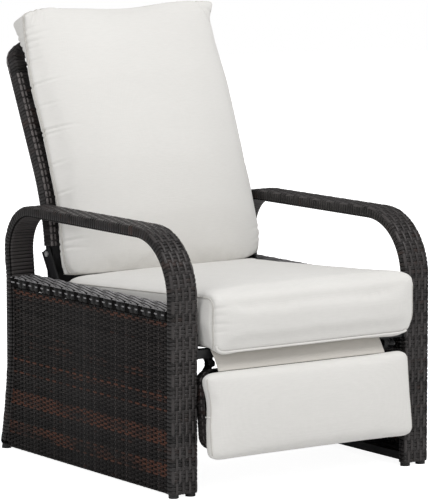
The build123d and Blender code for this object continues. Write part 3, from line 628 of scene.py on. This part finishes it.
def plain_weave(width, height, stake, row_pitch, warmth, reach=1.7 * MM):
    """Level strands over and under stakes, from 0 to width and 0 to height, on a dark sheet that is painted
    shade.
    """
    bm = new_weave()
    stakes, rows = round(width / stake), round(height / row_pitch)
    stake, row_pitch = width / stakes, height / rows
    # A dark sheet behind the strands: painted shade in the gaps.
    painted_shade_lining = lay((0, height, 0), 30, width, 1.4 * MM, 4, lambda d: 0)
    copies(bm, painted_shade_lining, [(width / 2, 0, 0)], lambda place: 0.0, lambda: -1.0)
    for parity, sign in enumerate((1, -1)):
        strand = lay((width, 0, 0), stakes * 2, 1.04 * row_pitch, 1.8 * MM, 6,
                     lambda d: reach * sign * math.sin(math.pi * d / stake))
        places = [(0, (row + 0.5) * row_pitch, 0) for row in range(parity, rows, 2)]
        copies(bm, strand, places, warmth)
    for parity, sign in enumerate((1, -1)):
        strand = lay((0, height, 0), rows * 2, 0.30 * stake, 1.6 * MM, 4,
                     lambda d: 0.86 * reach * -sign * math.cos(math.pi * (d / row_pitch - 0.5)))
        places = [((k + 0.5) * stake, 0, 0) for k in range(parity, stakes, 2)]
        copies(bm, strand, places,
               lambda place: LIGHT_STAKE if round(place.x / stake - 0.5) % 9 in (2, 5) else 0.0)
    return bm


def panel_warmth(place):
    """Brown rows: broken ones under the waist and near the floor, thin ones between."""
    height = place.y + 7 * MM
    bands = ((0.377, 0.0050, 0.7), (0.220, 0.0036, 1.15), (0.190, 0.0028, 0.85), (0.128, 0.017, 0.75),
             (0.058, 0.015, 0.8))
    near = max([weight for middle, spread, weight in bands if abs(height - middle) < spread], default=0.0)
    return max(near * (0.6 + 0.4 * rng.random()), 0.4 * rng.random() ** 3)


for side, sign in SIDES:
    low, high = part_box(f"side_panel_{side}")
    panel_width, panel_height = high[1] - low[1] - 2 * MM, high[2] - low[2] + 4 * MM
    flat = plain_weave(panel_width, panel_height, STAKE, PANEL_ROW, panel_warmth)
    for vert in flat.verts:
        vert.co.y -= panel_height / 2
    corner = (sign * PANEL_MID, low[1] + 1 * MM, low[2] - PANEL_DROP + panel_height / 2)
    frame_line = {"reach": np.array([-panel_height, panel_height]),
                  "place": np.array([[*corner[:2], corner[2] + d] for d in (-panel_height, panel_height)]),
                  "out": np.array([[float(sign), 0, 0]] * 2), "side": np.array((0, 1.0, 0))}
    sheet_outline = flat_outline(panel_width)
    sheet_outline["place"] = np.array([[0, 0], [panel_width, 0]])
    panel = woven(f"panel_weave_{side}", flat, sheet_outline, frame_line, panel_wicker,
                  "base")
    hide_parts(f"side_panel_{side}")

# %% [markdown]
# ## The back
# The back leans, and its rails bend once near the seat. One line in the YZ plane carries the weave
# of both rails and of the panel between them, each at its own distance in front of the line.

# %% Back rails, top rail and panel
PIVOT_Y, PIVOT_Z = 604 * MM, 296 * MM
RAIL_MID, RAIL_START, RAIL_TOP, TOP_CORNER, TOP_JOINT = 260.5, 186, 599.5, 32, 64
RAIL_PITCH, PAINTED_HIGHLIGHT_STRAND = 8.0 * MM, -2.5
LOW_LEAN, LEAN, BEND_START, BEND_RADIUS = 6.0, 25.5, 185 * MM, 570 * MM
back_bend = BEND_RADIUS * math.radians(LEAN - LOW_LEAN)


def back_line(x, forward, start, stop):
    """The back's own line, moved sideways and forward, from one distance above the pivot to another."""
    lean = math.radians(LOW_LEAN)
    base = Vector((x, PIVOT_Y - SHIFT * MM - forward * math.cos(lean), PIVOT_Z + forward * math.sin(lean)))
    straight = BEND_START - start
    stretch = (BEND_RADIUS - forward) / BEND_RADIUS
    origin = base + Vector((0, math.sin(lean), math.cos(lean))) * start
    runs = [(straight, 0), (back_bend * stretch, LEAN - LOW_LEAN), (stop - BEND_START - back_bend, 0)]
    return line_of_runs(origin, (0, 1, 0), (0, 0, 1), 90 - LOW_LEAN, runs), sum(run[0] for run in runs)


def rail_weave(outline, length, pitch, ridge):
    """Plain wraps, and a thin strand over every second wrap along two lines of the section, lightened as
    painted highlight.
    """
    bm = new_weave()
    rows = int(length / pitch)
    ring = lay((outline["reach"][-1], 0, 0), 26, 1.1 * pitch, 1.5 * MM, 6, lambda d: 0.4 * MM)
    copies(bm, ring, [(0, (row + 0.5) * length / rows, 0) for row in range(rows)])
    for place in ridge:
        strand = lay((0, length, 0), rows * 3, 5.6 * MM, 1.5 * MM, 6,
                     lambda d: (0.8 + 0.9 * math.cos(math.pi * (d * rows / length - 0.5))) * MM)
        # The thin strand is lightened: painted highlight along the rail's corner.
        copies(bm, strand, [(place, 0, 0)], lambda place: PAINTED_HIGHLIGHT_STRAND)
    return bm


rail_outline = rounded_outline(32 * MM, 36 * MM, WOVEN_CORNER)
rail_around = rail_outline["reach"][-1]
for side, sign in SIDES:
    line, length = back_line(sign * RAIL_MID * MM, 0, RAIL_START * MM - 1 * MM, RAIL_TOP * MM)
    ridges = [rail_around / 2 - sign * 14.0 * MM, rail_around / 2 - sign * 5.5 * MM]
    flat = rail_weave(rail_outline, length, RAIL_PITCH, ridges)
    woven(f"back_rail_weave_{side}", flat, rail_outline, line, band_wicker, "back")

lean = math.radians(LEAN)
up_back = Vector((0, math.sin(lean), math.cos(lean)))
top_middle = Vector((0, 798.33 * MM - SHIFT * MM, 922.81 * MM))
top_start = top_middle + Vector((-RAIL_MID * MM, 0, 0)) - up_back * (TOP_JOINT * MM)
quarter, straight = TOP_CORNER * MM * math.pi / 2, (TOP_JOINT - TOP_CORNER) * MM
top_level = 2 * (RAIL_MID - TOP_CORNER) * MM
top_runs = [(straight, 0), (quarter, 90), (top_level, 0), (quarter, 90), (straight, 0)]
top_line = line_of_runs(top_start, (1, 0, 0), up_back, 90, top_runs)
top_outline = rounded_outline(36 * MM, 32 * MM, WOVEN_CORNER)
top_ridge = top_outline["reach"][-1] / 2 + 9 * MM
flat = rail_weave(top_outline, sum(run[0] for run in top_runs), RAIL_PITCH, [top_ridge])
woven("back_top_weave", flat, top_outline, top_line, band_wicker, "back")

line, length = back_line(0, 8 * MM, 117 * MM, 619 * MM)
panel_width = 2 * 243.5 * MM
flat = plain_weave(panel_width, length, STAKE, BACK_ROW, lambda place: 0.5 * rng.random() ** 2)
panel = woven("back_panel_weave", flat, flat_outline(panel_width), line, panel_wicker, "back")
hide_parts("back_panel")

# %% [markdown]
# ## The footrest's edge
# The footrest tray is wrapped across its edge, and a thin strand runs over every second wrap.

# %% Footrest edge
FOOT_LEAN = 6.5
foot_lean = math.radians(FOOT_LEAN)
foot_up = Vector((0, math.sin(foot_lean), math.cos(foot_lean)))
foot_front = Vector((0, -math.cos(foot_lean), math.sin(foot_lean)))
TRAY_HALF, TRAY_TALL, TRAY_DEEP, TRAY_CORNER = 279 * MM, 172 * MM, 32 * MM, 30 * MM
tray_top = Vector((0, (-13.5 - SHIFT) * MM, 275.5 * MM))
corner = (TRAY_CORNER * math.pi / 2, 90)
half_side, upright_side = (TRAY_HALF - TRAY_CORNER, 0), (TRAY_TALL - 2 * TRAY_CORNER, 0)
edge_start = tray_top - foot_front * (TRAY_DEEP / 2)
edge_runs = [half_side, corner, upright_side, corner, (2 * half_side[0], 0), corner, upright_side, corner,
             half_side]
edge_line = line_of_runs(edge_start, (1, 0, 0), foot_up, 0, edge_runs)
edge_length = sum(run[0] for run in edge_runs)
bm = new_weave()
rows = round(edge_length / RAIL_PITCH)
across = lay((TRAY_DEEP, 0, 0), 8, 1.1 * edge_length / rows, 1.5 * MM, 6, lambda d: 0.4 * MM)
copies(bm, across, [(0, (row + 0.5) * edge_length / rows, 0) for row in range(rows)])
dashes = lay((0, edge_length, 0), rows * 3, 4.2 * MM, 1.4 * MM, 6,
             lambda d: (0.5 + 1.0 * math.cos(math.pi * (d * rows / edge_length - 0.5))) * MM)
# The thin strand is lightened: painted highlight along the edge.
copies(bm, dashes, [(TRAY_DEEP * 0.62, 0, 0)], lambda place: -1.5)
woven("footrest_weave", bm, flat_outline(TRAY_DEEP), edge_line, band_wicker, "footrest")

# %% [markdown]
# ## Cushion cloth
# The covers are spun polyester canvas in off-white. Two sets of threads cross, so the bump is a sum
# of waves over the cushion's own length and width, which every vertex carries as an attribute.

# %% Canvas finish
def canvas(name, colour, shade, thread=1.1):
    """Cloth between two tones, with threads `thread` millimetres apart, slubs and a soft rumple."""
    net = Net(name)
    cloth = net.add("ShaderNodeSeparateXYZ", Vector=net.attribute("cloth").outputs["Vector"])
    place = net.place()
    waves = [net.math("SINE", net.math("MULTIPLY", axis, 2 * math.pi / thread)) for axis in cloth.outputs]
    weave = net.math("ADD", net.math("ADD", waves[0], waves[1]), waves[2])
    slub = net.noise(net.stretched(place, (1, 1, 9)), 60.0, 3.0)
    soiling = net.noise(place, 3.5, 3.0)
    tint = net.ramp(net.math("ADD", net.math("MULTIPLY", slub, 0.5), net.math("MULTIPLY", soiling, 0.5)),
                    [(0.3, shade), (0.7, colour)])
    tint = net.mix(net.ramp(weave, [(0.0, grey(0.06)), (1.0, grey(0))]), tint, (*(0.8 * c for c in shade), 1))
    rumple = net.bump(net.noise(place, 26.0, 3.0), 0.22, 0.004)
    normal = net.bump(weave, 0.25, 0.0002, rumple)
    return net.finish(Base_Color=tint, Roughness=0.92, Sheen_Weight=0.25, Sheen_Roughness=0.5,
                      Specular_IOR_Level=0.25, Normal=normal)


cushion_canvas = canvas("cushion_canvas", (0.785, 0.772, 0.745), (0.735, 0.722, 0.695))
# The welts are darker than the cover: painted shade along the seams.
welt_canvas_painted_shade = canvas("welt_canvas_painted_shade", (0.62, 0.60, 0.565), (0.55, 0.535, 0.50), 0.8)
# The flap is darker than the cover, though it is the same cloth: painted shade under the seat.
flap_canvas_painted_shade = canvas("flap_canvas_painted_shade", (0.66, 0.63, 0.585), (0.60, 0.575, 0.535))

# %% [markdown]
# ## Sewing and filling a cushion
# Each cushion begins as a box of even squares, shaped to its cut. Cloth under a little pressure then
# fills it: it swells between the seams and pulls in at the corners. The seams are pinched in
# afterwards, and a welt is laid along each.

# %% Cushion tools
def cushion_box(name, shape, cuts=26):
    """A closed box of squares from -1 to 1, moved into place by `shape`."""
    bm = bmesh.new()
    bmesh.ops.create_cube(bm, size=2)
    bmesh.ops.subdivide_edges(bm, edges=bm.edges[:], cuts=cuts, use_grid_fill=True)
    for vert, place in zip(bm.verts, shape(np.array([vert.co for vert in bm.verts]))):
        vert.co = place
    bmesh.ops.recalc_face_normals(bm, faces=bm.faces)
    return finished(bm, name, cushion_canvas)


def applied(obj):
    """The object's mesh with its modifiers applied."""
    graph = bpy.context.evaluated_depsgraph_get()
    mesh = bpy.data.meshes.new_from_object(obj.evaluated_get(graph), depsgraph=graph)
    old, name = obj.data, obj.name
    obj.modifiers.clear()
    obj.data = mesh
    bpy.data.meshes.remove(old)
    mesh.name = name


def points_of(mesh, key="co"):
    values = np.empty(len(mesh.vertices) * 3)
    mesh.vertices.foreach_get(key, values)
    return values.reshape(-1, 3)


def set_points(mesh, points):
    mesh.vertices.foreach_set("co", points.ravel())
    mesh.update()


def fill(obj, voxel, cap, pressure, ironed=6):
    """Remesh to even cells, swell as cloth under pressure, limit how far a point may move, and iron it."""
    remesh = obj.modifiers.new("cells", "REMESH")
    remesh.mode, remesh.voxel_size = "VOXEL", voxel
    applied(obj)
    before = points_of(obj.data)
    cloth = obj.modifiers.new("filling", "CLOTH")
    settings = cloth.settings
    settings.quality, settings.mass = 5, 0.3
    settings.tension_stiffness = settings.compression_stiffness = 15
    settings.use_pressure, settings.uniform_pressure_force = True, pressure
    settings.effector_weights.gravity = 0
    scene = bpy.context.scene
    for frame_number in range(1, 21):
        scene.frame_set(frame_number)
    applied(obj)
    scene.frame_set(1)
    moved = points_of(obj.data) - before
    reach = np.linalg.norm(moved, axis=1, keepdims=True)
    set_points(obj.data, before + moved * np.minimum(1, cap / np.maximum(reach, 1e-9)))
    print(obj.name, "swelled by up to", round(1000 * min(cap, reach.max()), 1), "mm")
    iron = obj.modifiers.new("iron", "SMOOTH")
    iron.factor, iron.iterations = 0.5, ironed
    rounding = obj.modifiers.new("rounding", "SUBSURF")
    rounding.levels = rounding.render_levels = 1
    applied(obj)
    for polygon in obj.data.polygons:
        polygon.use_smooth = True


def even_points(points, step=0.004):
    """The same line with points at even distances."""
    points = np.array(points, dtype=float)
    reach = np.concatenate(([0], np.cumsum(np.linalg.norm(np.diff(points, axis=0), axis=1))))
    marks = np.linspace(0, reach[-1], max(2, int(reach[-1] / step)))
    return np.stack([np.interp(marks, reach, column) for column in points.T], axis=1)


def pinch(obj, line, width, depth):
    """Pull the cover in along a seam line."""
    tree = KDTree(len(line))
    for index, place in enumerate(line):
        tree.insert(place, index)
    tree.balance()
    points, normals = points_of(obj.data), points_of(obj.data, "normal")
    for index, place in enumerate(points):
        distance = tree.find(place)[2]
        if distance < width:
            points[index] = place - normals[index] * depth * (1 - (distance / width) ** 2) ** 2
    set_points(obj.data, points)


def welt(name, obj, line, hollow, radius, sink, finish, local_places, closed=False):
    """A thin cord sewn along a line on the cover, in a hollow of a given width and depth."""
    pinch(obj, line, *hollow)
    tree = BVHTree.FromPolygons([v.co for v in obj.data.vertices], [p.vertices for p in obj.data.polygons])
    curve = bpy.data.curves.new(name, "CURVE")
    curve.dimensions, curve.bevel_depth, curve.bevel_resolution = "3D", radius, 1
    curve.use_fill_caps = True
    spline = curve.splines.new("POLY")
    spline.points.add(len(line) - 1)
    spline.use_cyclic_u = closed
    for point, place in zip(spline.points, line):
        spot, normal, _, _ = tree.find_nearest(Vector(place))
        point.co = (*(spot + normal * radius * (1 - 2 * sink)), 1)
    holder = bpy.data.objects.new(name, curve)
    bpy.context.scene.collection.objects.link(holder)
    applied_mesh = bpy.data.meshes.new_from_object(holder)
    bpy.data.objects.remove(holder)
    bpy.data.curves.remove(curve)
    bm = bmesh.new()
    bm.from_mesh(applied_mesh)
    bpy.data.meshes.remove(applied_mesh)
    bmesh.ops.remove_doubles(bm, verts=bm.verts, dist=1e-6)
    bmesh.ops.recalc_face_normals(bm, faces=bm.faces)
    cord = finished(bm, name, finish)
    mark_cloth(cord, local_places)
    return cord


def mark_cloth(obj, local_places):
    """Give each vertex its place on the cushion in millimetres, for the threads."""
    layer = obj.data.attributes.new("cloth", "FLOAT_VECTOR", "POINT")
    layer.data.foreach_set("vector", (local_places(points_of(obj.data)) / MM).ravel())


def creased(points, normals, across, along, creases):
    """Press short folds in: (across, along, direction in degrees, length, width, depth), in metres."""
    push = np.zeros(len(points))
    for centre_across, centre_along, direction, length, width, depth in creases:
        cos, sin = math.cos(math.radians(direction)), math.sin(math.radians(direction))
        a, b = across - centre_across, along - centre_along
        lengthwise, sideways = (a * cos + b * sin) / length, (b * cos - a * sin) / width
        push -= depth * (1 - 1.4 * sideways ** 2) * np.exp(-sideways ** 2 - lengthwise ** 2)
    return points + normals * push[:, None]


def fold_row(across, width, rows):
    """Folds that start on one line, from rows of (along, direction, length, depth); in millimetres."""
    return [(across * MM, along * MM, turn, length * MM, width * MM, depth * MM)
            for along, turn, length, depth in rows]

# %% [markdown]
# ## Back cushion
# A boxed pillow with a welt all round. Its top edge dips between the two ears, the left edge has
# short level creases where the cover is pulled, and its lower corners are gathered.

# %% Back cushion
cushion_line, _ = back_line(0, 0, 100 * MM, 760 * MM)
BACK_LOW, BACK_HIGH, EAR_DROP, SEAM_EDGE, BULGE = 112 * MM, 740 * MM, 14 * MM, 4 * MM, 2.4
along_marks = np.array([0, 0.07, 0.2, 0.36, 0.52, 0.68, 0.78, 0.84, 0.89, 0.93, 0.97, 1])
half_widths = MM * np.array([283, 286, 281, 278, 278, 281, 276, 273, 271, 269, 272, 273])
sideways = MM * np.array([0, 0, 0, 0, 0, 0, 0, 0, 0, 0, 7, 9])
seam_forward = MM * np.array([70, 65, 56, 51, 59, 61, 63, 65, 68, 71, 74, 76])
front_depth = MM * np.array([30, 53, 78, 91, 83, 75, 63, 55, 44, 32, 18, 8])
rear_depth = MM * np.array([34, 43, 42, 39, 47, 49, 49, 47, 46, 50, 58, 60])
side_wall = MM * np.array([14, 14, 14, 14, 15, 15, 16, 20, 38, 47, 57, 60])


def on_back(x, along, forward):
    spot = followed(cushion_line, "place", along - 100 * MM)
    return spot + followed(cushion_line, "out", along - 100 * MM) * forward[:, None] + np.stack(
        [x, 0 * x, 0 * x], axis=1)


def top_dip(u):
    """The top edge between the ears, lower left of the middle."""
    return (-8 * np.exp(-((u + 0.05) / 0.4) ** 2) + 6 * np.exp(-((u - 0.68) / 0.34) ** 2)) * MM


def back_shape(box):
    u, v, w = box.T
    share = (v + 1) / 2
    half, wall, front, rear, seam, shift = (np.interp(share, along_marks, table) for table in (
        half_widths, side_wall, front_depth, rear_depth, seam_forward, sideways))
    boxed = np.clip((np.abs(share - 0.55) - 0.25) / 0.2, 0, 1) ** 2
    profile = 1 - np.abs(u) ** np.where(w > 0, BULGE, BULGE + 9 * boxed)
    behind = wall + np.maximum(rear - wall, 2 * MM) * profile
    depth = np.where(w > 0, SEAM_EDGE + (front - SEAM_EDGE) * profile, behind)
    left = np.clip((-u - 0.75) / 0.25, 0, 1)
    along = BACK_LOW + share * (BACK_HIGH - BACK_LOW) + top_dip(u) * share ** 6
    along = along - EAR_DROP * left ** 1.6 * share ** 14
    low = np.clip(-v, 0, 1)
    along = along + low ** 6 * (15 * MM * np.clip(u, 0, 1) ** 9 - 6 * MM * (1 - u * u))
    half = half * (1 - 0.08 * low ** 8 * np.clip(1 + w, 0, 1))
    return on_back(u * half + shift, along, seam + w * depth)


back_cushion = cushion_box("back_cushion_cover", back_shape, 40)
fill(back_cushion, 6 * MM, 8 * MM, 4.0)


def back_local(points):
    """Across, along and forward places of points near the back."""
    lean = math.radians(LEAN)
    origin = followed(cushion_line, "place", np.array([500 * MM]))[0]
    offset = points - origin
    return np.stack([points[:, 0], 600 * MM + offset @ np.array([0, math.sin(lean), math.cos(lean)]),
                     offset @ np.array([0, -math.cos(lean), math.sin(lean)])], axis=1)


points, normals = points_of(back_cushion.data), points_of(back_cushion.data, "normal")
local = back_local(points)
FOLDS_AT = 272
left_folds = fold_row(-FOLDS_AT, 4.5, (
    (682, 8, 30, 2.0), (667, 4, 34, 2.4), (652, 2, 36, 2.2), (637, 0, 26, 1.8), (606, 3, 30, 1.6),
    (549, 2, 44, 2.6), (497, -3, 32, 1.4), (438, -4, 48, 2.8), (427, -2, 30, 1.8), (355, 2, 26, 1.2),
    (285, 3, 26, 1.2), (176, -6, 34, 2.0), (160, -12, 30, 1.6)))
right_folds = fold_row(FOLDS_AT, 5, (
    (706, -20, 26, 2.4), (684, -10, 24, 1.8), (600, 4, 30, 1.2), (470, -3, 34, 1.4), (330, 3, 30, 1.2),
    (170, 14, 34, 2.2), (150, 24, 28, 1.8)))
ear_folds = (fold_row(-236, 6, [(716, 62, 34, 3.4)]) + fold_row(-214, 5, [(724, 75, 26, 2.0)]) +
             fold_row(238, 6, [(716, -62, 34, 3.0)]))
set_points(back_cushion.data, creased(points, normals, local[:, 0], local[:, 1],
                                      left_folds + right_folds + ear_folds))
level, upright = np.linspace(-0.97, 0.97, 40), np.linspace(-0.97, 0.97, 60)
loop = [(t, -1) for t in level] + [(1, t) for t in upright] + [(-t, 1) for t in level] + [
    (-1, -t) for t in upright]
seam = even_points([back_shape(np.array([[u, v, 0.0]]))[0] for u, v in loop])
back_welt = welt("back_cushion_welt", back_cushion, seam, (12 * MM, 3.5 * MM), 2.0 * MM, 0.25, welt_canvas_painted_shade,
                 back_local, True)
mark_cloth(back_cushion, back_local)
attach(back_cushion, "back")
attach(back_welt, "back")
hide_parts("back_cushion")

# %% [markdown]
# ## Seat cushion
# A boxed cushion whose top runs over the front edge in one piece. The side panels are set in with a
# plain seam, and a welt closes the cover along the lower front edge.

# %% Seat cushion
SEAT_SLOPE, SEAT_PLANE = 0.0577, 320 * MM
SIDE_FALL, CROWN, RIGHT_RISE, DROOP, RIGHT_BULGE, RIGHT_TUCK, LEFT_TUCK = 6, 9, 7, 14, 11, 23, 8
SEAT_FRONT, SEAT_BACK, SEAT_HALF, SEAT_THICK = -48 * MM, 570 * MM, 272 * MM, 122 * MM


def on_seat(x, y, rise):
    """Places from the cushion's own measures: across, back from the seat's front, and above its plane."""
    return np.stack([x, y - SHIFT * MM, SEAT_PLANE - SEAT_SLOPE * y + rise], axis=1)


def rounded(points, low, high, radius):
    """Move points of a box in, so its edges are round."""
    inner = np.clip(points, low + radius, high - radius)
    out = points - inner
    reach = np.linalg.norm(out, axis=1, keepdims=True)
    return np.where(reach > 0, inner + out / np.maximum(reach, 1e-9) * radius, points)


def seat_shape(box):
    low = np.array([-SEAT_HALF, SEAT_FRONT, 0])
    high = np.array([SEAT_HALF, SEAT_BACK, SEAT_THICK])
    place = low + (box + 1) / 2 * (high - low)
    x, y, rise = rounded(place, low, high, 15 * MM).T
    front = np.clip((y - SEAT_FRONT) / (46 * MM), 0, 1)
    rise = rise - np.clip(rise / SEAT_THICK, 0, 1) * SIDE_FALL * MM * (1 - front) ** 2
    crown = CROWN * MM * (1 - (x / SEAT_HALF) ** 2) * np.interp((y - SEAT_FRONT) / (SEAT_BACK - SEAT_FRONT),
                                                           [0, 0.02, 0.07, 0.25, 0.5, 0.75, 0.94, 1],
                                                           [0.4, 0.6, 0.8, 1, 1, 1, 1, 1])
    height = np.clip(rise / SEAT_THICK, 0, 1)
    rise = rise + (crown + RIGHT_RISE * MM * np.clip(x / SEAT_HALF, 0, 1) ** 2) * height ** 2
    overhang = np.clip(-y / (36 * MM), 0, 1)
    rise = rise - (1 - height) * DROOP * MM * overhang
    out = np.clip(x / SEAT_HALF, 0, 1) ** 4
    x = x + out * overhang * RIGHT_BULGE * MM
    tuck = RIGHT_TUCK * MM * out - LEFT_TUCK * MM * np.clip(-x / SEAT_HALF, 0, 1) ** 4
    x = x - overhang * np.clip(1 - height / 0.34, 0, 1) ** 2 * tuck
    return on_seat(x, y, rise)


seat_cushion = cushion_box("seat_cushion_cover", seat_shape, 40)
fill(seat_cushion, 6 * MM, 5 * MM, 3.0, 10)


def seat_local(points):
    y = points[:, 1] + SHIFT * MM
    return np.stack([points[:, 0], y, points[:, 2] - SEAT_PLANE + SEAT_SLOPE * y], axis=1)


local = seat_local(points_of(seat_cushion.data))
local[:, 2] = np.where(local[:, 1] > 0, np.maximum(local[:, 2], 0.2 * MM), local[:, 2])
set_points(seat_cushion.data, on_seat(*local.T))


def side_seam(x):
    """The line round one side panel, on the cushion's edge."""
    turn = 24 * MM
    path = [(SEAT_BACK - 14 * MM, SEAT_THICK - 4 * MM), (SEAT_FRONT + turn + 30 * MM, SEAT_THICK - 6 * MM)]
    path += [(SEAT_FRONT + 13 * MM + turn * (1 - math.sin(a)), SEAT_THICK - 8 * MM - turn * (1 - math.cos(a)))
             for a in np.linspace(0, math.pi / 2, 8)]
    path += [(SEAT_FRONT + 13 * MM, 16 * MM), (SEAT_FRONT + 20 * MM, 2 * MM)]
    y, rise = np.array(path).T
    return even_points(on_seat(np.full(len(y), x), y, rise))


for side, sign in SIDES:
    seam_welt = welt(f"seat_side_welt_{side}", seat_cushion, side_seam(sign * (SEAT_HALF - 2 * MM)),
                     (10 * MM, 2.5 * MM), 1.5 * MM, 0.3, welt_canvas_painted_shade, seat_local)
    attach(seam_welt, "base")

low_x, low_rise = np.array([(-268, 8), (-265, 0), (-259, -6), (-250, -9.5), (-238, -10.5), (0, -10),
                            (228, -9), (242, -8), (251, -6.5), (257, -4.5)]).T
low_seam = even_points(on_seat(low_x * MM, np.full(len(low_x), SEAT_FRONT + 4 * MM), low_rise * MM))
front_welt = welt("seat_front_welt", seat_cushion, low_seam, (11 * MM, 4.0 * MM), 2.9 * MM, 0.1,
                  cushion_canvas, seat_local)
points, normals = points_of(seat_cushion.data), points_of(seat_cushion.data, "normal")
local = seat_local(points)
seat_folds = fold_row(-258, 4.5, (
    (92, 4, 22, 1.2), (76, 0, 18, 1.0), (58, -3, 26, 1.3), (40, 4, 18, 1.0)))
folds = creased(points, normals, local[:, 0], local[:, 2], seat_folds)
set_points(seat_cushion.data, np.where((local[:, 1] < SEAT_FRONT + 20 * MM)[:, None], folds, points))
mark_cloth(seat_cushion, seat_local)
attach(seat_cushion, "base")
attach(front_welt, "base")
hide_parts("seat_cushion")

# %% [markdown]
# ## Footrest cushion
# A thin boxed pad on the tray. Its side panels are narrow, and the left one has a small tab in its seam.

# %% Footrest cushion
FOOT_HALF, FOOT_LONG, FOOT_THICK, FOOT_CROWN = 279 * MM, 196 * MM, 28 * MM, 11 * MM
FOOT_GAP, FOOT_SHIFT = 0.3 * MM, -15 * MM
foot_top = tray_top + foot_front * FOOT_GAP + Vector((FOOT_SHIFT, 0, 0))


def soft_corners(u, v):
    """Places across and down a pad, from -1 to 1, with its four corners rounded."""
    return u * (1 - 0.018 * np.abs(v) ** 12), v * (1 - 0.045 * np.abs(u) ** 22)


def on_foot(x, down, out):
    """Places from the pad's own measures: across, down from its top and out from the tray."""
    return (np.array(foot_top)[None, :] + np.stack([x, 0 * x, 0 * x], axis=1)
            - down[:, None] * np.array(foot_up) + out[:, None] * np.array(foot_front))


def foot_shape(box):
    low, high = np.array([-FOOT_HALF, 0, 0]), np.array([FOOT_HALF, FOOT_LONG, FOOT_THICK + 4 * MM])
    x, down, out = rounded(low + (box + 1) / 2 * (high - low), low, high, 12 * MM).T
    u, v = soft_corners(x / FOOT_HALF, 2 * down / FOOT_LONG - 1)
    x, down = u * FOOT_HALF, (v + 1) / 2 * FOOT_LONG
    out = out + FOOT_CROWN * (1 - np.abs(u) ** 3) * (1 - np.abs(v) ** 2.4) * np.clip(out / high[2], 0, 1) ** 2
    x = x * (1 - 0.008 * (1 - v ** 2)) + 6 * MM * np.clip(-u, 0, 1) ** 8 * np.exp(-((v + 0.25) / 0.35) ** 2)
    return on_foot(x, down, out)


foot_cushion = cushion_box("footrest_cushion_cover", foot_shape, 36)
fill(foot_cushion, 5 * MM, 4 * MM, 3.0)


def foot_local(points):
    offset = points - np.array(foot_top)
    return np.stack([offset[:, 0], -offset @ np.array(foot_up), offset @ np.array(foot_front)], axis=1)


local = foot_local(points_of(foot_cushion.data))
local[:, 2] = np.maximum(local[:, 2], 0.2 * MM)
set_points(foot_cushion.data, on_foot(*local.T))
for side, sign in SIDES:
    u, v = soft_corners(np.full(24, float(sign)), np.linspace(-0.9, 0.9, 24))
    seam = even_points(on_foot(u * (FOOT_HALF - 2 * MM), (v + 1) / 2 * FOOT_LONG, np.full(24, FOOT_THICK)))
    foot_welt = welt(f"footrest_welt_{side}", foot_cushion, seam, (8 * MM, 1.8 * MM), 1.3 * MM, 0.25,
                     welt_canvas_painted_shade, foot_local)
    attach(foot_welt, "footrest")
tab_line = even_points(on_foot(np.full(8, -FOOT_HALF + 2 * MM), np.full(8, FOOT_LONG / 2),
                               np.linspace(3, 27, 8) * MM))
side_tab = welt("footrest_side_tab", foot_cushion, tab_line, (9 * MM, 2.5 * MM), 1.8 * MM, 0.0,
                cushion_canvas, foot_local)
mark_cloth(foot_cushion, foot_local)
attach(side_tab, "footrest")
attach(foot_cushion, "footrest")
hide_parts("footrest_cushion")

# %% [markdown]
# ## Front flap
# A strip of the same cloth hangs from under the seat cushion to the top of the footrest, and hides
# the gap. It has a narrow hem, and bends where the footrest turns.

# %% Flap
low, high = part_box("fabric_flap")
FLAP_HALF, FLAP_SHIFT, FLAP_THICK = 226 * MM, -23 * MM, 1.6 * MM
top_y, end_y = (2 - SHIFT) * MM, (-29 - SHIFT) * MM
flap_top = Vector((0, top_y, high[2]))
landing = points_of(foot_cushion.data)
landing = landing[np.abs(landing[:, 1] - end_y) < 4 * MM]
flap_end = Vector((0, end_y, landing[:, 2].max() + 0.4 * MM))
bm = bmesh.new()
bmesh.ops.create_grid(bm, x_segments=120, y_segments=16, size=1)
for vert in bm.verts:
    u, v = vert.co.x, (vert.co.y + 1) / 2
    place = flap_top.lerp(flap_end, v)
    bow = 2.0 * MM * math.sin(math.pi * v)
    ripple = 0.9 * MM * math.sin(math.pi * v) * math.sin(9 * u + 1.5 * math.sin(4 * u)) * (0.4 + 0.6 * abs(u))
    vert.co = (u * FLAP_HALF + FLAP_SHIFT, place.y - bow + ripple, place.z)
bmesh.ops.solidify(bm, geom=bm.faces[:], thickness=FLAP_THICK)
bmesh.ops.recalc_face_normals(bm, faces=bm.faces)
flap = finished(bm, "front_flap", flap_canvas_painted_shade)
hem_line = even_points(np.stack([np.linspace(-0.985, 0.985, 60) * FLAP_HALF + FLAP_SHIFT,
                                 np.full(60, flap_end.y + 3.4 * MM),
                                 np.full(60, flap_end.z + 8 * MM)], axis=1))
pinch(flap, hem_line, 3.5 * MM, 1.2 * MM)
mark_cloth(flap, lambda places: places)
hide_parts("fabric_flap")
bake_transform(flap, "base", "footrest", flap_top, flap_end)

# %% [markdown]
# ## Sizes and finish
# The box round the dressed chair is measured.

# %% Finish
low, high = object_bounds()
